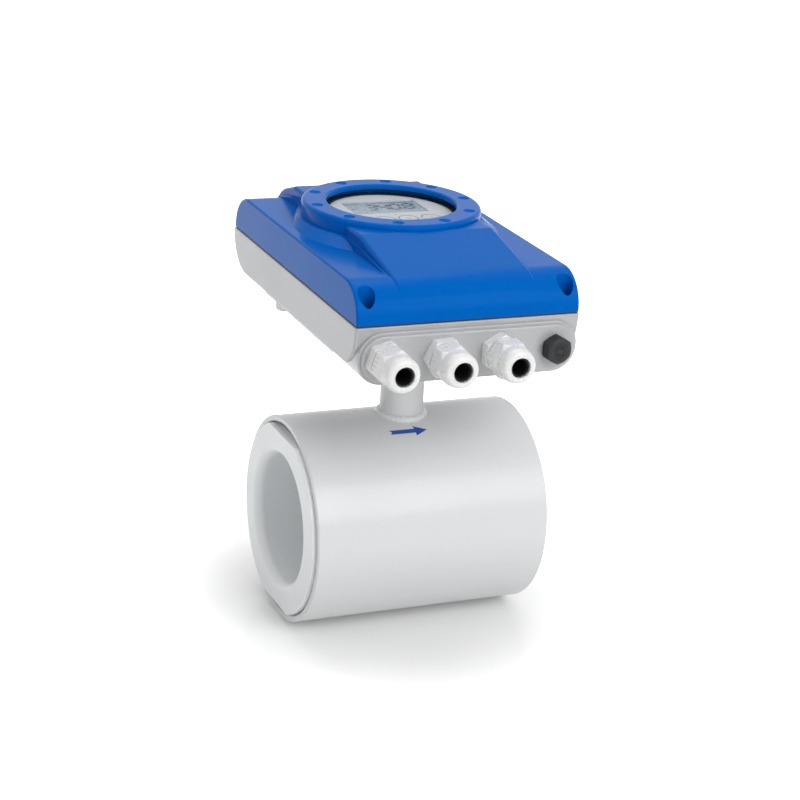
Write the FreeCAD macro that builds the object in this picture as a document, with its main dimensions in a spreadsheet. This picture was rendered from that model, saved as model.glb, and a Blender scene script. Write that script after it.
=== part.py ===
import FreeCAD, Part
import math
import os
import re
import Sketcher
from FreeCAD import Placement, Rotation, Vector

# Electromagnetic flow meter, clamped between two pipe flanges.
# The origin is the centre of the measuring bore. Liquid flows along +X, the
# cable entries face -Y and the converter stands above the tube, towards +Z.

# Driving sizes in millimetres: name, value and what it measures.
SIZES = {
    "magnet_space": (16.45, "space for coils and yoke between measuring tube and housing"),
    "tube_wall": (4.5, "wall of the sensor housing"),
    "tube_length": (184, "length of the sensor housing"),
    "tube_chamfer": (0.8, "broken edge at the ends of the sensor housing"),
    "bore_radius": (49, "radius of the lined measuring bore"),
    "liner_wall": (5, "wall of the liner in the bore"),
    "liner_reach": (3, "how far the liner faces stand out of the housing"),
    "liner_flange_gap": (1.1, "gap between the liner's flange and the housing's inside"),
    "liner_flange_thickness": (8, "thickness of the liner's sealing flange"),
    "liner_flat_depth": (5.4, "depth of the flats on the liner's flange"),
    "entry_round": (7, "rounding where the bore meets the liner face"),
    "meter_wall": (3, "wall of the stainless measuring tube"),
    "fit_gap": (0.05, "radial clearance between pieces that are fixed together"),
    "end_ring_thickness": (4, "thickness of the ring that closes each end"),
    "neck_radius": (16.5, "outside radius of the neck"),
    "neck_wall": (2.6, "wall of the neck"),
    "bead_radius": (3.2, "radius of the weld bead at the foot of the neck"),
    "flange_radius": (31, "radius of the neck's top flange"),
    "flange_thickness": (5, "thickness of the neck's top flange"),
    "flange_screw_circle": (23.5, "radius of the neck screws' circle"),
    "flange_screw_radius": (2.5, "radius of a neck screw's shank"),
    "neck_seal_thickness": (1.5, "thickness of the seal on the neck's flange"),
    "neck_screw_bite": (10, "how deep a neck screw reaches into the base"),
    "coil_inner_radius": (9, "inside radius of a field coil"),
    "coil_outer_radius": (22, "outside radius of a field coil"),
    "coil_room": (0.47, "room between a field coil and the yoke band"),
    "coil_gap": (1.95, "room between a field coil and the measuring tube"),
    "core_gap": (0.2, "gap between the core, the tube and the yoke"),
    "yoke_wall": (2.8, "thickness of the yoke band"),
    "yoke_length": (56, "length of the yoke band"),
    "yoke_gap": (0.3, "gap between the yoke band and the housing"),
    "yoke_window": (14, "radius of the yoke band's windows"),
    "electrode_head_radius": (5.5, "radius of an electrode's head"),
    "electrode_head_thickness": (1.8, "thickness of an electrode's head"),
    "electrode_radius": (2, "radius of an electrode's shank"),
    "socket_radius": (9, "radius of an electrode's socket on the measuring tube"),
    "socket_height": (6, "height of an electrode's socket"),
    "bush_radius": (5, "radius of an electrode's insulating bush"),
    "converter_half_width": (85.75, "half the width of the converter's base"),
    "converter_front": (107, "distance of the converter's front from the bore"),
    "converter_back": (150.5, "distance of the converter's back from the bore"),
    "neck_rise": (76, "height of the base's underside above the sensor housing"),
    "base_pad": (2, "how far the pad under the base stands out"),
    "pad_half_width": (83, "half the width of the pad under the base"),
    "pad_front": (60, "distance of the pad's front end from the bore"),
    "pad_back": (80, "distance of the pad's back end from the bore"),
    "base_height": (30.5, "height of the base from its underside to its rim"),
    "base_wall": (4, "wall of the base"),
    "base_draft": (3, "how far the base's front leans in towards the bottom"),
    "base_edge_round": (2.2, "rounding of the base's side edges"),
    "base_rim_round": (0.8, "rounding of the base's rim"),
    "base_front_round": (23, "rounding of the base's front lower edge"),
    "base_back_round": (30, "rounding of the base's back lower edge"),
    "seam_thickness": (1.2, "thickness of the seal between base and cover"),
    "seam_inset": (1.2, "how far the seal lies behind the base's side"),
    "seam_width": (2.4, "width of the seal between base and cover"),
    "cover_inset": (0.6, "how far the cover lies behind the base's side"),
    "cover_height": (27.3, "height of the cover's side shelves above its rim"),
    "cover_round": (26, "rounding of the cover's front and back"),
    "cover_edge_round": (1.5, "rounding of the cover's side edges"),
    "cover_wall": (3.5, "wall of the cover"),
    "band_half_width": (53, "half the width of the raised band"),
    "band_rise": (13, "height of the raised band above the shelves"),
    "band_front_drop": (3.4, "how far the band's slope would fall below the shelves in front"),
    "band_back_drop": (0.1, "how far the band's slope would fall below the shelves behind"),
    "band_round": (28, "rounding of the raised band's front and back"),
    "band_edge_round": (2.5, "rounding of the raised band's side edges"),
    "band_extra_wall": (4, "extra wall at the top of the raised band"),
    "collar_margin": (2, "how far the step stands out beside the band"),
    "collar_rise": (5.5, "height of the step round the ring above the shelves"),
    "collar_front_drop": (2.6, "how far the step's slope would fall below the shelves in front"),
    "collar_back_drop": (2.2, "how far the step's slope would fall below the shelves behind"),
    "collar_ledge": (3, "width of the step round the ring"),
    "collar_blend": (24, "hollow rounding between ring and band"),
    "skirt_flare": (6.5, "how far the step's foot flares out on the shelf"),
    "skirt_shift": (11, "how far the flared foot's centre lies in front of the ring's"),
    "groove_width": (0.8, "width of the groove round the ring in the band"),
    "ring_back": (43, "distance of the window ring's centre behind the bore"),
    "ring_width": (18.9, "width of the window ring's face"),
    "ring_rise": (17, "height of the window ring above the shelves"),
    "ring_outer_round": (3, "rounding of the ring's outer edge"),
    "ring_inner_round": (2, "rounding of the ring's inner edge"),
    "window_radius": (48.6, "radius of the window's opening"),
    "dimple_margin": (10.7, "distance of the dimples' circle from the window's edge"),
    "dimple_ball": (6.5, "radius of the ball that makes a dimple"),
    "dimple_depth": (2, "depth of a dimple"),
    "glass_overlap": (5.4, "how far the glass reaches under the ring"),
    "glass_thickness": (3, "thickness of the window glass"),
    "window_depth": (3.5, "depth of the lip that the glass is pressed against, under the ring's face"),
    "glass_seal_thickness": (0.8, "thickness of the window's seal"),
    "retainer_margin": (6, "how far the clamping ring reaches past the glass"),
    "retainer_inset": (1.8, "how far the clamping ring lies behind the window's edge"),
    "retainer_thickness": (3, "thickness of the window's clamping ring"),
    "retainer_screw_edge": (2.7, "distance of the clamping ring's screws from its rim"),
    "retainer_screw_bite": (3.5, "how deep a clamping ring screw reaches into the cover"),
    "retainer_screw_radius": (1.25, "radius of a clamping ring screw's shank"),
    "corner_screw_side": (76, "sideways distance of the cover's screws"),
    "corner_screw_front": (98, "distance of the front cover screws from the bore"),
    "corner_screw_back": (141.5, "distance of the back cover screws from the bore"),
    "corner_screw_radius": (2.5, "radius of a cover screw's shank"),
    "corner_head_radius": (4.4, "radius of a cover screw's head"),
    "corner_head_height": (4.4, "height of a cover screw's head"),
    "corner_post_radius": (7.5, "radius of a screw post in the base and cover"),
    "well_radius": (6.2, "radius of a screw well in the cover"),
    "well_wall": (2.5, "height of a screw well's floor above the cover's rim"),
    "post_length": (16.5, "length of the base's corner posts"),
    "post_floor": (3, "solid end of a corner post under its screw hole"),
    "post_screw_gap": (1, "room between a cover screw's end and the hole's end"),
    "screw_gap": (0.2, "radial clearance round a screw's shank"),
    "entry_rise": (8, "height of the cable entries above the base's underside"),
    "entry_spacing": (43.3, "spacing of the cable entries"),
    "boss_half_height": (17, "half the height of the entry boss"),
    "boss_half_length": (82, "half the length of the entry boss"),
    "boss_round": (16.5, "rounding of the entry boss's ends"),
    "boss_edge_round": (1.6, "rounding of the entry boss's front edge"),
    "boss_step": (2, "how far the boss's rear lip stands out round it"),
    "boss_step_reach": (1.8, "how far that lip stands out of the front"),
    "boss_step_round": (0.9, "rounding of that lip's edge"),
    "boss_reach": (4.2, "how far the entry boss stands out of the front"),
    "boss_depth": (38, "how far the entry boss reaches back inside the front"),
    "entry_wall": (10, "wall that the cable entries are threaded into"),
    "entry_pocket_wall": (4, "wall round the pocket behind the cable entries"),
    "gland_thread_radius": (10, "outside radius of a cable gland's thread"),
    "plug_thread_radius": (8, "outside radius of the blind plug's thread"),
    "gland_across_flats": (26, "width across the flats of a cable gland"),
    "gland_flange": (6, "thickness of a cable gland's hexagon"),
    "gland_thread_length": (9, "length of thread in the base"),
    "nut_thread_radius": (10.4, "outside radius of the thread under the dome nut"),
    "nut_thread_end": (19, "where the thread under the dome nut ends"),
    "nut_start": (6.7, "where the dome nut starts, from the boss's face"),
    "nut_shoulder": (20.5, "where the dome nut's hexagon ends"),
    "nut_end": (36, "where the dome nut's mouth ends"),
    "nut_mouth_radius": (6.9, "radius of the dome nut's mouth"),
    "turning_gap": (0.08, "radial clearance between thread stand-ins that turn"),
    "grip_radius": (6.2, "radius of the hole in a gland's sealing insert"),
    "insert_radius": (8, "radius of a gland's sealing insert"),
    "insert_start": (8, "where a gland's sealing insert starts"),
    "insert_end": (32.5, "where a gland's sealing insert ends"),
    "seal_thickness": (1, "thickness of the seal under a gland or plug"),
    "plug_across_flats": (18.6, "width across the flats of the blind plug"),
    "plug_head": (9, "height of the blind plug's head"),
    "board_rise": (16, "height of the main board's underside above the base's floor"),
    "board_thickness": (1.6, "thickness of a circuit board"),
    "board_half_width": (68, "half the width of the main board"),
    "board_front": (64, "distance of the main board's front from the bore"),
    "board_back": (124, "distance of the main board's back from the bore"),
    "pillar_radius": (4, "radius of a pillar under the main board"),
    "pillar_side": (60, "sideways distance of the pillars"),
    "pillar_front": (54, "distance of the front pillars from the bore"),
    "pillar_back": (114, "distance of the back pillars from the bore"),
    "board_screw_radius": (1.5, "radius of a board screw's shank"),
    "board_screw_bite": (7, "how deep a board screw reaches into its pillar"),
    "board_round": (3, "rounding of the main board's corners"),
    "connector_width": (28, "width of the sensor's connector under the board"),
    "connector_depth": (24, "depth of the sensor's connector"),
    "connector_height": (8, "height of the sensor's connector"),
    "terminal_pitch": (7.5, "width of one terminal"),
    "terminal_inset": (2, "distance of the terminals from the board's front edge"),
    "terminal_depth": (16, "depth of a terminal block"),
    "terminal_slope": (6, "how far a terminal block's front leans back"),
    "terminal_low": (9, "height of a terminal block in front"),
    "terminal_high": (15, "height of a terminal block behind"),
    "terminal_mouth": (5, "width and height of a terminal's mouth"),
    "terminal_mouth_depth": (8, "how far a mouth reaches back from in front of the board's edge"),
    "terminal_screw_place": (13, "distance of the terminal screws from the board's front edge"),
    "terminal_screw_radius": (2.2, "radius of a terminal screw"),
    "terminal_screw_length": (5, "length of a terminal screw"),
    "terminal_screw_foot": (8, "height of a terminal screw's end above the board"),
    "power_terminals": (-56, "place where the power terminals start"),
    "signal_terminals": (-16, "place where the signal terminals start"),
    "partition_inset": (24, "distance of the partition from the board's front edge"),
    "partition_thickness": (2, "thickness of the partition"),
    "partition_height": (25, "height of the partition"),
    "transformer_inset": (6, "distance of the transformer from the board's side edge"),
    "transformer_width": (20, "width of the transformer"),
    "transformer_depth": (28, "depth of the transformer"),
    "transformer_height": (24, "height of the transformer"),
    "transformer_back": (16, "distance of the transformer from the board's back edge"),
    "capacitor_radius": (6, "radius of a capacitor's can"),
    "capacitor_height": (18, "height of a capacitor's can"),
    "capacitor_back": (22, "distance of the capacitors from the board's back edge"),
    "capacitor_inset": (12, "distance of the first capacitor from the board's side edge"),
    "capacitor_spacing": (15, "spacing of the two capacitors"),
    "shield_width": (48, "width of the shield over the processor"),
    "shield_depth": (32, "depth of the shield"),
    "shield_height": (7, "height of the shield"),
    "shield_back": (12, "distance of the shield from the board's back edge"),
    "header_width": (20, "width of the ribbon's header"),
    "header_depth": (6, "depth of the ribbon's header"),
    "header_height": (6, "height of the ribbon's header"),
    "ribbon_width": (16, "width of the ribbon"),
    "ribbon_thickness": (0.8, "thickness of the ribbon"),
    "ribbon_slack": (10, "length of the ribbon's fold"),
    "ribbon_low_run": (5.2, "height of the ribbon's first bend above the header"),
    "ribbon_high_run": (3, "distance of the ribbon's last bend under the display unit"),
    "display_margin": (2.1, "gap round the display unit inside the window's edge"),
    "display_gap": (0.3, "gap between the display's face and the glass"),
    "display_height": (22.4, "height of the display unit"),
    "face_thickness": (1.2, "thickness of the display's face plate"),
    "cup_wall": (1.6, "wall of the display unit's cup"),
    "cup_lip_width": (3.5, "width of the lip that the display unit rests on"),
    "cup_lip_rise": (6, "height of the underside of that lip above the unit's underside"),
    "screen_width": (62, "width of the liquid crystal panel"),
    "screen_depth": (36.5, "depth of the liquid crystal panel"),
    "screen_border": (1, "border of the panel under the face plate"),
    "screen_offset": (12.75, "distance of the panel's centre behind the ring's centre"),
    "screen_thickness": (4, "thickness of the liquid crystal panel"),
    "bracket_margin": (7, "how far the display bracket's ring reaches past that lip"),
    "bracket_thickness": (3, "thickness of the display bracket's ring"),
    "bracket_leg": (8, "width of a leg of the display bracket"),
    "bracket_leg_reach": (37, "distance of a leg from the ring's centre, each way"),
    "seat_gap": (0.3, "clearance round what turns or is lifted off"),
    "lead_radius": (1, "radius of a sensor lead"),
    "lead_reach": (11, "distance of the leads from the neck's axis"),
    "vent_radius": (6, "radius of the vent under the base"),
    "vent_height": (9, "how far the vent stands out under the base"),
    "vent_side": (74, "sideways distance of the vent"),
    "vent_back": (64, "distance of the vent behind the bore"),
}

# Places that follow from the driving sizes: name and formula.
PLACES = {
    "meter_inside": "bore_radius + liner_wall + fit_gap",
    "meter_outside": "meter_inside + meter_wall",
    "tube_inside": "meter_outside + magnet_space",
    "tube_radius": "tube_inside + tube_wall",
    "liner_face": "tube_length / 2 + liner_reach",
    "flange_back": "liner_face - liner_flange_thickness",
    "liner_flange_radius": "tube_inside - liner_flange_gap",
    "liner_flat": "liner_flange_radius - liner_flat_depth",
    "yoke_outside": "tube_inside - yoke_gap",
    "yoke_inside": "yoke_outside - yoke_wall",
    "coil_start": "meter_outside + coil_gap",
    "coil_end": "sqrt(yoke_inside ^ 2 - coil_outer_radius ^ 2) - coil_room",
    "base_bottom": "tube_radius + neck_rise",
    "pad_bottom": "base_bottom - base_pad",
    "flange_top": "pad_bottom - neck_seal_thickness",
    "base_floor": "base_bottom + base_wall",
    "split_height": "base_bottom + base_height",
    "entry_height": "base_bottom + entry_rise",
    "boss_face": "converter_front + boss_reach",
    "post_foot": "split_height - post_length",
    "cover_bottom": "split_height + seam_thickness",
    "cover_top": "cover_bottom + cover_height",
    "cover_half_width": "converter_half_width - cover_inset",
    "cover_front": "converter_front - cover_inset",
    "cover_back": "converter_back - cover_inset",
    "well_floor": "cover_bottom + well_wall",
    "corner_screw_end": "post_foot + post_floor + post_screw_gap",
    "band_top": "cover_top + band_rise",
    "band_front_edge": "cover_top - band_front_drop",
    "band_back_edge": "cover_top - band_back_drop",
    "collar_half_width": "band_half_width + collar_margin",
    "collar_top": "cover_top + collar_rise",
    "collar_front_edge": "cover_top - collar_front_drop",
    "collar_back_edge": "cover_top - collar_back_drop",
    "collar_radius": "ring_radius + collar_ledge",
    "skirt_radius": "collar_radius + skirt_flare",
    "skirt_back": "ring_back - skirt_shift",
    "ring_top": "cover_top + ring_rise",
    "ring_radius": "window_radius + ring_width",
    "dimple_circle": "window_radius + dimple_margin",
    "glass_seat": "ring_top - window_depth",
    "glass_radius": "window_radius + glass_overlap",
    "retainer_top": "glass_seat - glass_seal_thickness - glass_thickness",
    "retainer_bottom": "retainer_top - retainer_thickness",
    "retainer_radius": "glass_radius + retainer_margin",
    "retainer_inner_radius": "window_radius + retainer_inset",
    "retainer_screw_circle": "retainer_radius - retainer_screw_edge",
    "board_height": "base_floor + board_rise",
    "board_top": "board_height + board_thickness",
    "display_radius": "window_radius - display_margin",
    "display_top": "retainer_top - display_gap",
    "display_floor": "display_top - display_height",
    "cup_lip_radius": "display_radius + cup_lip_width",
    "cup_lip_height": "display_floor + cup_lip_rise",
    "bracket_radius": "cup_lip_radius + bracket_margin",
}
ENTRIES = (-1.5, -0.5, 0.5, 1.5)
# How far each gland's body and dome nut are turned on their axis, in degrees, as they were tightened.
GLAND_TURNS = ((12, 12), (-6, -6), (30, 5))

# Turns that bring a piece's own Z axis along another axis.
ALONG_X = Rotation(Vector(0, 1, 0), 90)
TO_FRONT = Rotation(Vector(1, 0, 0), 90)
TO_BACK = Rotation(Vector(1, 0, 0), -90)
DOWNWARD = Rotation(Vector(1, 0, 0), 180)

doc = FreeCAD.newDocument("flow_meter")
sheet = doc.addObject("Spreadsheet::Sheet", "Sizes")
for row, (alias, (number, meaning)) in enumerate(SIZES.items(), 1):
    sheet.set(f"A{row}", meaning)
    sheet.set(f"B{row}", str(number))
    sheet.setAlias(f"B{row}", alias)
doc.recompute()

nodes = []


def bound(text):
    """Give an expression in the sheet's sizes, with every place it names written out."""
    def written_out(word):
        name = word.group()
        if name in PLACES:
            return "(" + bound(PLACES[name]) + ")"
        return "Sizes." + name if name in SIZES else name
    return re.sub(r"[a-z_]+", written_out, str(text))


def amount(text):
    """Give the present value of an expression."""
    return float(sheet.evalExpression(bound(text)))


def keep(thing, node):
    """Keep a finished object as the node of that name."""
    thing.Label = node
    nodes.append(thing)
    return thing


def put(thing, place, turn=None):
    """Turn an object and bind its position to the sheet."""
    if turn:
        thing.Placement = Placement(Vector(), turn)
    for axis, text in zip("xyz", place):
        thing.setExpression("Placement.Base." + axis, bound(text))
    return thing


def primitive(kind, name, place, turn=None, **sizes):
    """Make a Part primitive with its sizes and position bound to the sheet."""
    thing = doc.addObject("Part::" + kind, name)
    for size_name, text in sizes.items():
        thing.setExpression(size_name, bound(text))
    return put(thing, place, turn)


def rod(name, radius, length, place, turn=None):
    """Make a cylinder that starts at a place and runs along its own Z axis."""
    return primitive("Cylinder", name, place, turn, Radius=radius, Height=length)


def block(name, low, size):
    """Make a box from its low corner and its three sizes."""
    return primitive("Box", name, low, Length=size[0], Width=size[1], Height=size[2])


def hexagon(name, across_flats, length, place, turn=None):
    """Make a hexagonal prism from its width across the flats."""
    thing = primitive("Prism", name, place, turn, Circumradius=f"{across_flats} / sqrt(3)", Height=length)
    thing.Polygon = 6
    return thing


def fuse(name, *things):
    """Join objects into one."""
    joined = doc.addObject("Part::MultiFuse", name)
    joined.Shapes = list(things)
    joined.Refine = True
    return joined


def cut(name, base, *tools):
    """Cut objects out of a base."""
    tool = tools[0] if len(tools) == 1 else fuse(name + "_tools", *tools)
    rest = doc.addObject("Part::Cut", name)
    rest.Base = base
    rest.Tool = tool
    rest.Refine = True
    return rest


def common(name, first, second):
    """Keep what two objects share."""
    shared = doc.addObject("Part::Common", name)
    shared.Base = first
    shared.Tool = second
    shared.Refine = True
    return shared


def group(name, things):
    """Hold like solids together as one object without joining them."""
    held = doc.addObject("Part::Compound", name)
    held.Links = list(things)
    return held


def own_plane(body, role):
    """Find one of a body's own origin planes."""
    return next(feature for feature in body.Origin.OriginFeatures if feature.Role == role)


def corner(before, here, after, radius):
    """Give the tangent points and the arc that round one corner of an outline."""
    back = (before - here).normalize()
    ahead = (after - here).normalize()
    half_angle = back.getAngle(ahead) / 2
    start = here + back * (radius / math.tan(half_angle))
    end = here + ahead * (radius / math.tan(half_angle))
    middle = here + (back + ahead).normalize() * (radius / math.sin(half_angle))
    left_turn = (here - before).cross(after - here).z > 0
    first, last = (start, end) if left_turn else (end, start)
    angles = [math.atan2(point.y - middle.y, point.x - middle.x) for point in (first, last)]
    if angles[1] < angles[0]:
        angles[1] += 2 * math.pi
    arc = Part.ArcOfCircle(Part.Circle(middle, Vector(0, 0, 1), radius), *angles)
    return start, end, arc, left_turn


def outline_sketch(body, name, role, outline):
    """Draw a closed outline of (across, up) or (across, up, radius) corners on a body's plane."""
    sketch = body.newObject("Sketcher::SketchObject", name)
    sketch.AttachmentSupport = (own_plane(body, role), [""])
    sketch.MapMode = "FlatFace"
    points = [Vector(amount(spot[0]), amount(spot[1]), 0) for spot in outline]
    count = len(points)
    rounded = {}
    for index, spot in enumerate(outline):
        if len(spot) == 3:
            following = points[(index + 1) % count]
            rounded[index] = corner(points[index - 1], points[index], following, amount(spot[2]))
    for index in range(count):
        following = (index + 1) % count
        start = rounded[index][1] if index in rounded else points[index]
        end = rounded[following][0] if following in rounded else points[following]
        sketch.addGeometry(Part.LineSegment(start, end), False)

    def fix(geometry, spot, index):
        ends = (("DistanceX", spot[0], points[index].x), ("DistanceY", spot[1], points[index].y))
        for kind, text, value in ends:
            number = sketch.addConstraint(Sketcher.Constraint(kind, -1, 1, geometry, 1, value))
            sketch.setExpression(f"Constraints[{number}]", bound(text))

    for index, spot in enumerate(outline):
        line_in, line_out = (index - 1) % count, index
        if index not in rounded:
            sketch.addConstraint(Sketcher.Constraint("Coincident", line_in, 2, line_out, 1))
            fix(line_out, spot, index)
            continue
        arc_shape, left_turn = rounded[index][2:]
        arc = sketch.addGeometry(arc_shape, False)
        sharp = sketch.addGeometry(Part.Point(points[index]), True)
        fix(sharp, spot, index)
        sketch.addConstraint(Sketcher.Constraint("PointOnObject", sharp, 1, line_in))
        sketch.addConstraint(Sketcher.Constraint("PointOnObject", sharp, 1, line_out))
        arc_start, arc_end = (1, 2) if left_turn else (2, 1)
        sketch.addConstraint(Sketcher.Constraint("Tangent", line_in, 2, arc, arc_start))
        sketch.addConstraint(Sketcher.Constraint("Tangent", line_out, 1, arc, arc_end))
        number = sketch.addConstraint(Sketcher.Constraint("Radius", arc, amount(spot[2])))
        sketch.setExpression(f"Constraints[{number}]", bound(spot[2]))
    return sketch


def turned(name, outline, place=(0, 0, 0), turn=None):
    """Turn an outline of (radius, height) corners about a body's Z axis."""
    body = doc.addObject("PartDesign::Body", name)
    sketch = outline_sketch(body, name + "_section", "XZ_Plane", outline)
    revolution = body.newObject("PartDesign::Revolution", name + "_turned")
    revolution.Profile = sketch
    revolution.ReferenceAxis = (sketch, ["V_Axis"])
    revolution.Angle = 360
    return put(body, place, turn)


def extruded(name, role, outline, length, place=(0, 0, 0), midplane=False, turn=None):
    """Pad an outline drawn on one of a body's planes."""
    body = doc.addObject("PartDesign::Body", name)
    sketch = outline_sketch(body, name + "_outline", role, outline)
    pad = body.newObject("PartDesign::Pad", name + "_padded")
    pad.Profile = sketch
    pad.Midplane = midplane
    pad.setExpression("Length", bound(length))
    return put(body, place, turn)


def round_edges(body, radius, chosen):
    """Round those of a body's edges that a test picks."""
    doc.recompute()
    tip = body.Tip
    edges = [f"Edge{number}" for number, edge in enumerate(tip.Shape.Edges, 1) if chosen(edge.BoundBox)]
    rounded = body.newObject("PartDesign::Fillet", f"{body.Name}_{radius}")
    rounded.Base = (tip, edges)
    rounded.setExpression("Radius", bound(radius))
    return body


def slab(name, low, high, radius, start, thickness):
    """Pad a plan rectangle with rounded corners, from a height upwards."""
    corners = ((low[0], low[1]), (high[0], low[1]), (high[0], high[1]), (low[0], high[1]))
    outline = [(x, y, radius) for x, y in corners]
    return extruded(name, "XY_Plane", outline, thickness, (0, 0, start))


def lead(name, points, radius, bend):
    """Sweep a round lead along straight runs joined by arcs."""
    spots = [Vector(*[amount(text) for text in point]) for point in points]
    edges = []
    start = spots[0]
    for before, here, after in zip(spots, spots[1:], spots[2:]):
        back = (before - here).normalize()
        ahead = (after - here).normalize()
        half_angle = back.getAngle(ahead) / 2
        setback = bend / math.tan(half_angle)
        middle = here + (back + ahead).normalize() * (bend / math.sin(half_angle) - bend)
        first, last = here + back * setback, here + ahead * setback
        edges.append(Part.LineSegment(start, first).toShape())
        edges.append(Part.Arc(first, middle, last).toShape())
        start = last
    edges.append(Part.LineSegment(start, spots[-1]).toShape())
    path = Part.Wire(edges)
    ring = Part.Wire(Part.Circle(spots[0], spots[1] - spots[0], radius).toShape())
    thing = doc.addObject("Part::Feature", name)
    thing.Shape = path.makePipeShell([ring], True, False)
    return thing


def sensor():
    """Make the housing, the lined measuring tube and what closes its ends."""
    housing_tube = turned("housing_tube", [
        ("tube_inside + tube_chamfer", "-tube_length / 2"),
        ("tube_radius - tube_chamfer", "-tube_length / 2"),
        ("tube_radius", "-tube_length / 2 + tube_chamfer"),
        ("tube_radius", "tube_length / 2 - tube_chamfer"),
        ("tube_radius - tube_chamfer", "tube_length / 2"),
        ("tube_inside + tube_chamfer", "tube_length / 2"),
        ("tube_inside", "tube_length / 2 - tube_chamfer"),
        ("tube_inside", "-tube_length / 2 + tube_chamfer"),
    ], turn=ALONG_X)
    lead_hole = rod("lead_hole", "neck_radius - neck_wall", "tube_radius", (0, 0, 0))
    keep(cut("housing_with_hole", housing_tube, lead_hole), "sensor_housing")

    for name, side in (("inlet", -1), ("outlet", 1)):
        ring = turned(f"{name}_ring", [
            ("meter_outside + fit_gap", "0"),
            ("tube_inside - fit_gap", "0"),
            ("tube_inside - fit_gap", "end_ring_thickness"),
            ("meter_outside + fit_gap", "end_ring_thickness"),
        ], (f"{side} * flange_back - {0 if side < 0 else 1} * end_ring_thickness", 0, 0), ALONG_X)
        keep(ring, f"end_ring_{name}")

    meter_blank = turned("meter_blank", [
        ("meter_inside", "-flange_back"),
        ("meter_outside", "-flange_back"),
        ("meter_outside", "flange_back"),
        ("meter_inside", "flange_back"),
    ], turn=ALONG_X)
    sockets = []
    holes = []
    for name, turn in (("front", TO_FRONT), ("back", TO_BACK)):
        sockets.append(rod(f"socket_{name}", "socket_radius", "meter_outside + socket_height",
                           (0, 0, 0), turn))
        holes.append(rod(f"socket_hole_{name}", "bush_radius + fit_gap", "tube_radius", (0, 0, 0), turn))
    core = rod("meter_core", "meter_inside", "2 * flange_back", ("-flange_back", 0, 0), ALONG_X)
    meter = fuse("meter_with_sockets", meter_blank, *sockets)
    keep(cut("meter_bored", meter, core, *holes), "measuring_tube")

    liner_blank = turned("liner_blank", [
        ("bore_radius", "-liner_face", "entry_round"),
        ("liner_flange_radius", "-liner_face", "1"),
        ("liner_flange_radius", "-flange_back"),
        ("bore_radius + liner_wall", "-flange_back"),
        ("bore_radius + liner_wall", "flange_back"),
        ("liner_flange_radius", "flange_back"),
        ("liner_flange_radius", "liner_face", "1"),
        ("bore_radius", "liner_face", "entry_round"),
    ], turn=ALONG_X)
    flats = []
    for name, low in (("upper", "liner_flat"), ("lower", "-2 * liner_flat")):
        flats.append(block(f"flat_{name}", ("-liner_face", "-liner_flange_radius", low),
                           ("2 * liner_face", "2 * liner_flange_radius", "liner_flat")))
    pin_hole = rod("pin_hole", "electrode_radius + fit_gap", "2 * tube_radius",
                   (0, "tube_radius", 0), TO_FRONT)
    head_depth = "bore_radius + electrode_head_thickness + fit_gap"
    heads = [rod(f"head_hole_{name}", "electrode_head_radius + fit_gap", head_depth, (0, 0, 0), turn)
             for name, turn in (("front", TO_FRONT), ("back", TO_BACK))]
    keep(cut("liner_finished", liner_blank, pin_hole, *heads, *flats), "liner")


def electrodes():
    """Make the two electrodes with their bushes, spring washers and nuts."""
    washers = []
    nuts = []
    bush_end = "(meter_outside + socket_height + 1)"
    for name, turn in (("front", TO_FRONT), ("back", TO_BACK)):
        electrode = turned(f"electrode_pin_{name}", [
            ("0", "bore_radius + 2 * fit_gap"),
            ("electrode_head_radius", "bore_radius + 2 * fit_gap", "0.3"),
            ("electrode_head_radius", "bore_radius + electrode_head_thickness"),
            ("electrode_radius", "bore_radius + electrode_head_thickness"),
            ("electrode_radius", f"{bush_end} + 6"),
            ("0", f"{bush_end} + 6"),
        ], turn=turn)
        keep(electrode, f"electrode_{name}")
        bush = turned(f"bush_{name}", [
            ("electrode_radius + fit_gap", "bore_radius + liner_wall + fit_gap"),
            ("bush_radius", "bore_radius + liner_wall + fit_gap"),
            ("bush_radius", "meter_outside + socket_height"),
            ("socket_radius - 1", "meter_outside + socket_height"),
            ("socket_radius - 1", bush_end),
            ("electrode_radius + fit_gap", bush_end),
        ], turn=turn)
        keep(bush, f"electrode_bush_{name}")
        washers.append(turned(f"washer_{name}", [
            ("electrode_radius + fit_gap", bush_end),
            ("electrode_radius + 3.4", bush_end),
            ("electrode_radius + 3.4", f"{bush_end} + 0.8"),
            ("electrode_radius + fit_gap", f"{bush_end} + 1.6"),
        ], turn=turn))
        nut_start = f"{bush_end} + 1.6"
        nut_blank = hexagon(f"nut_blank_{name}", "3.6 * electrode_radius", "2.4",
                            (0, f"({nut_start}) * {-1 if name == 'front' else 1}", 0), turn)
        nut_bore = rod(f"nut_bore_{name}", "electrode_radius + fit_gap", "2 * tube_radius",
                       (0, "tube_radius", 0), TO_FRONT)
        nuts.append(cut(f"nut_{name}", nut_blank, nut_bore))
    keep(group("washers", washers), "electrode_washers")
    keep(group("nuts", nuts), "electrode_nuts")


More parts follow.
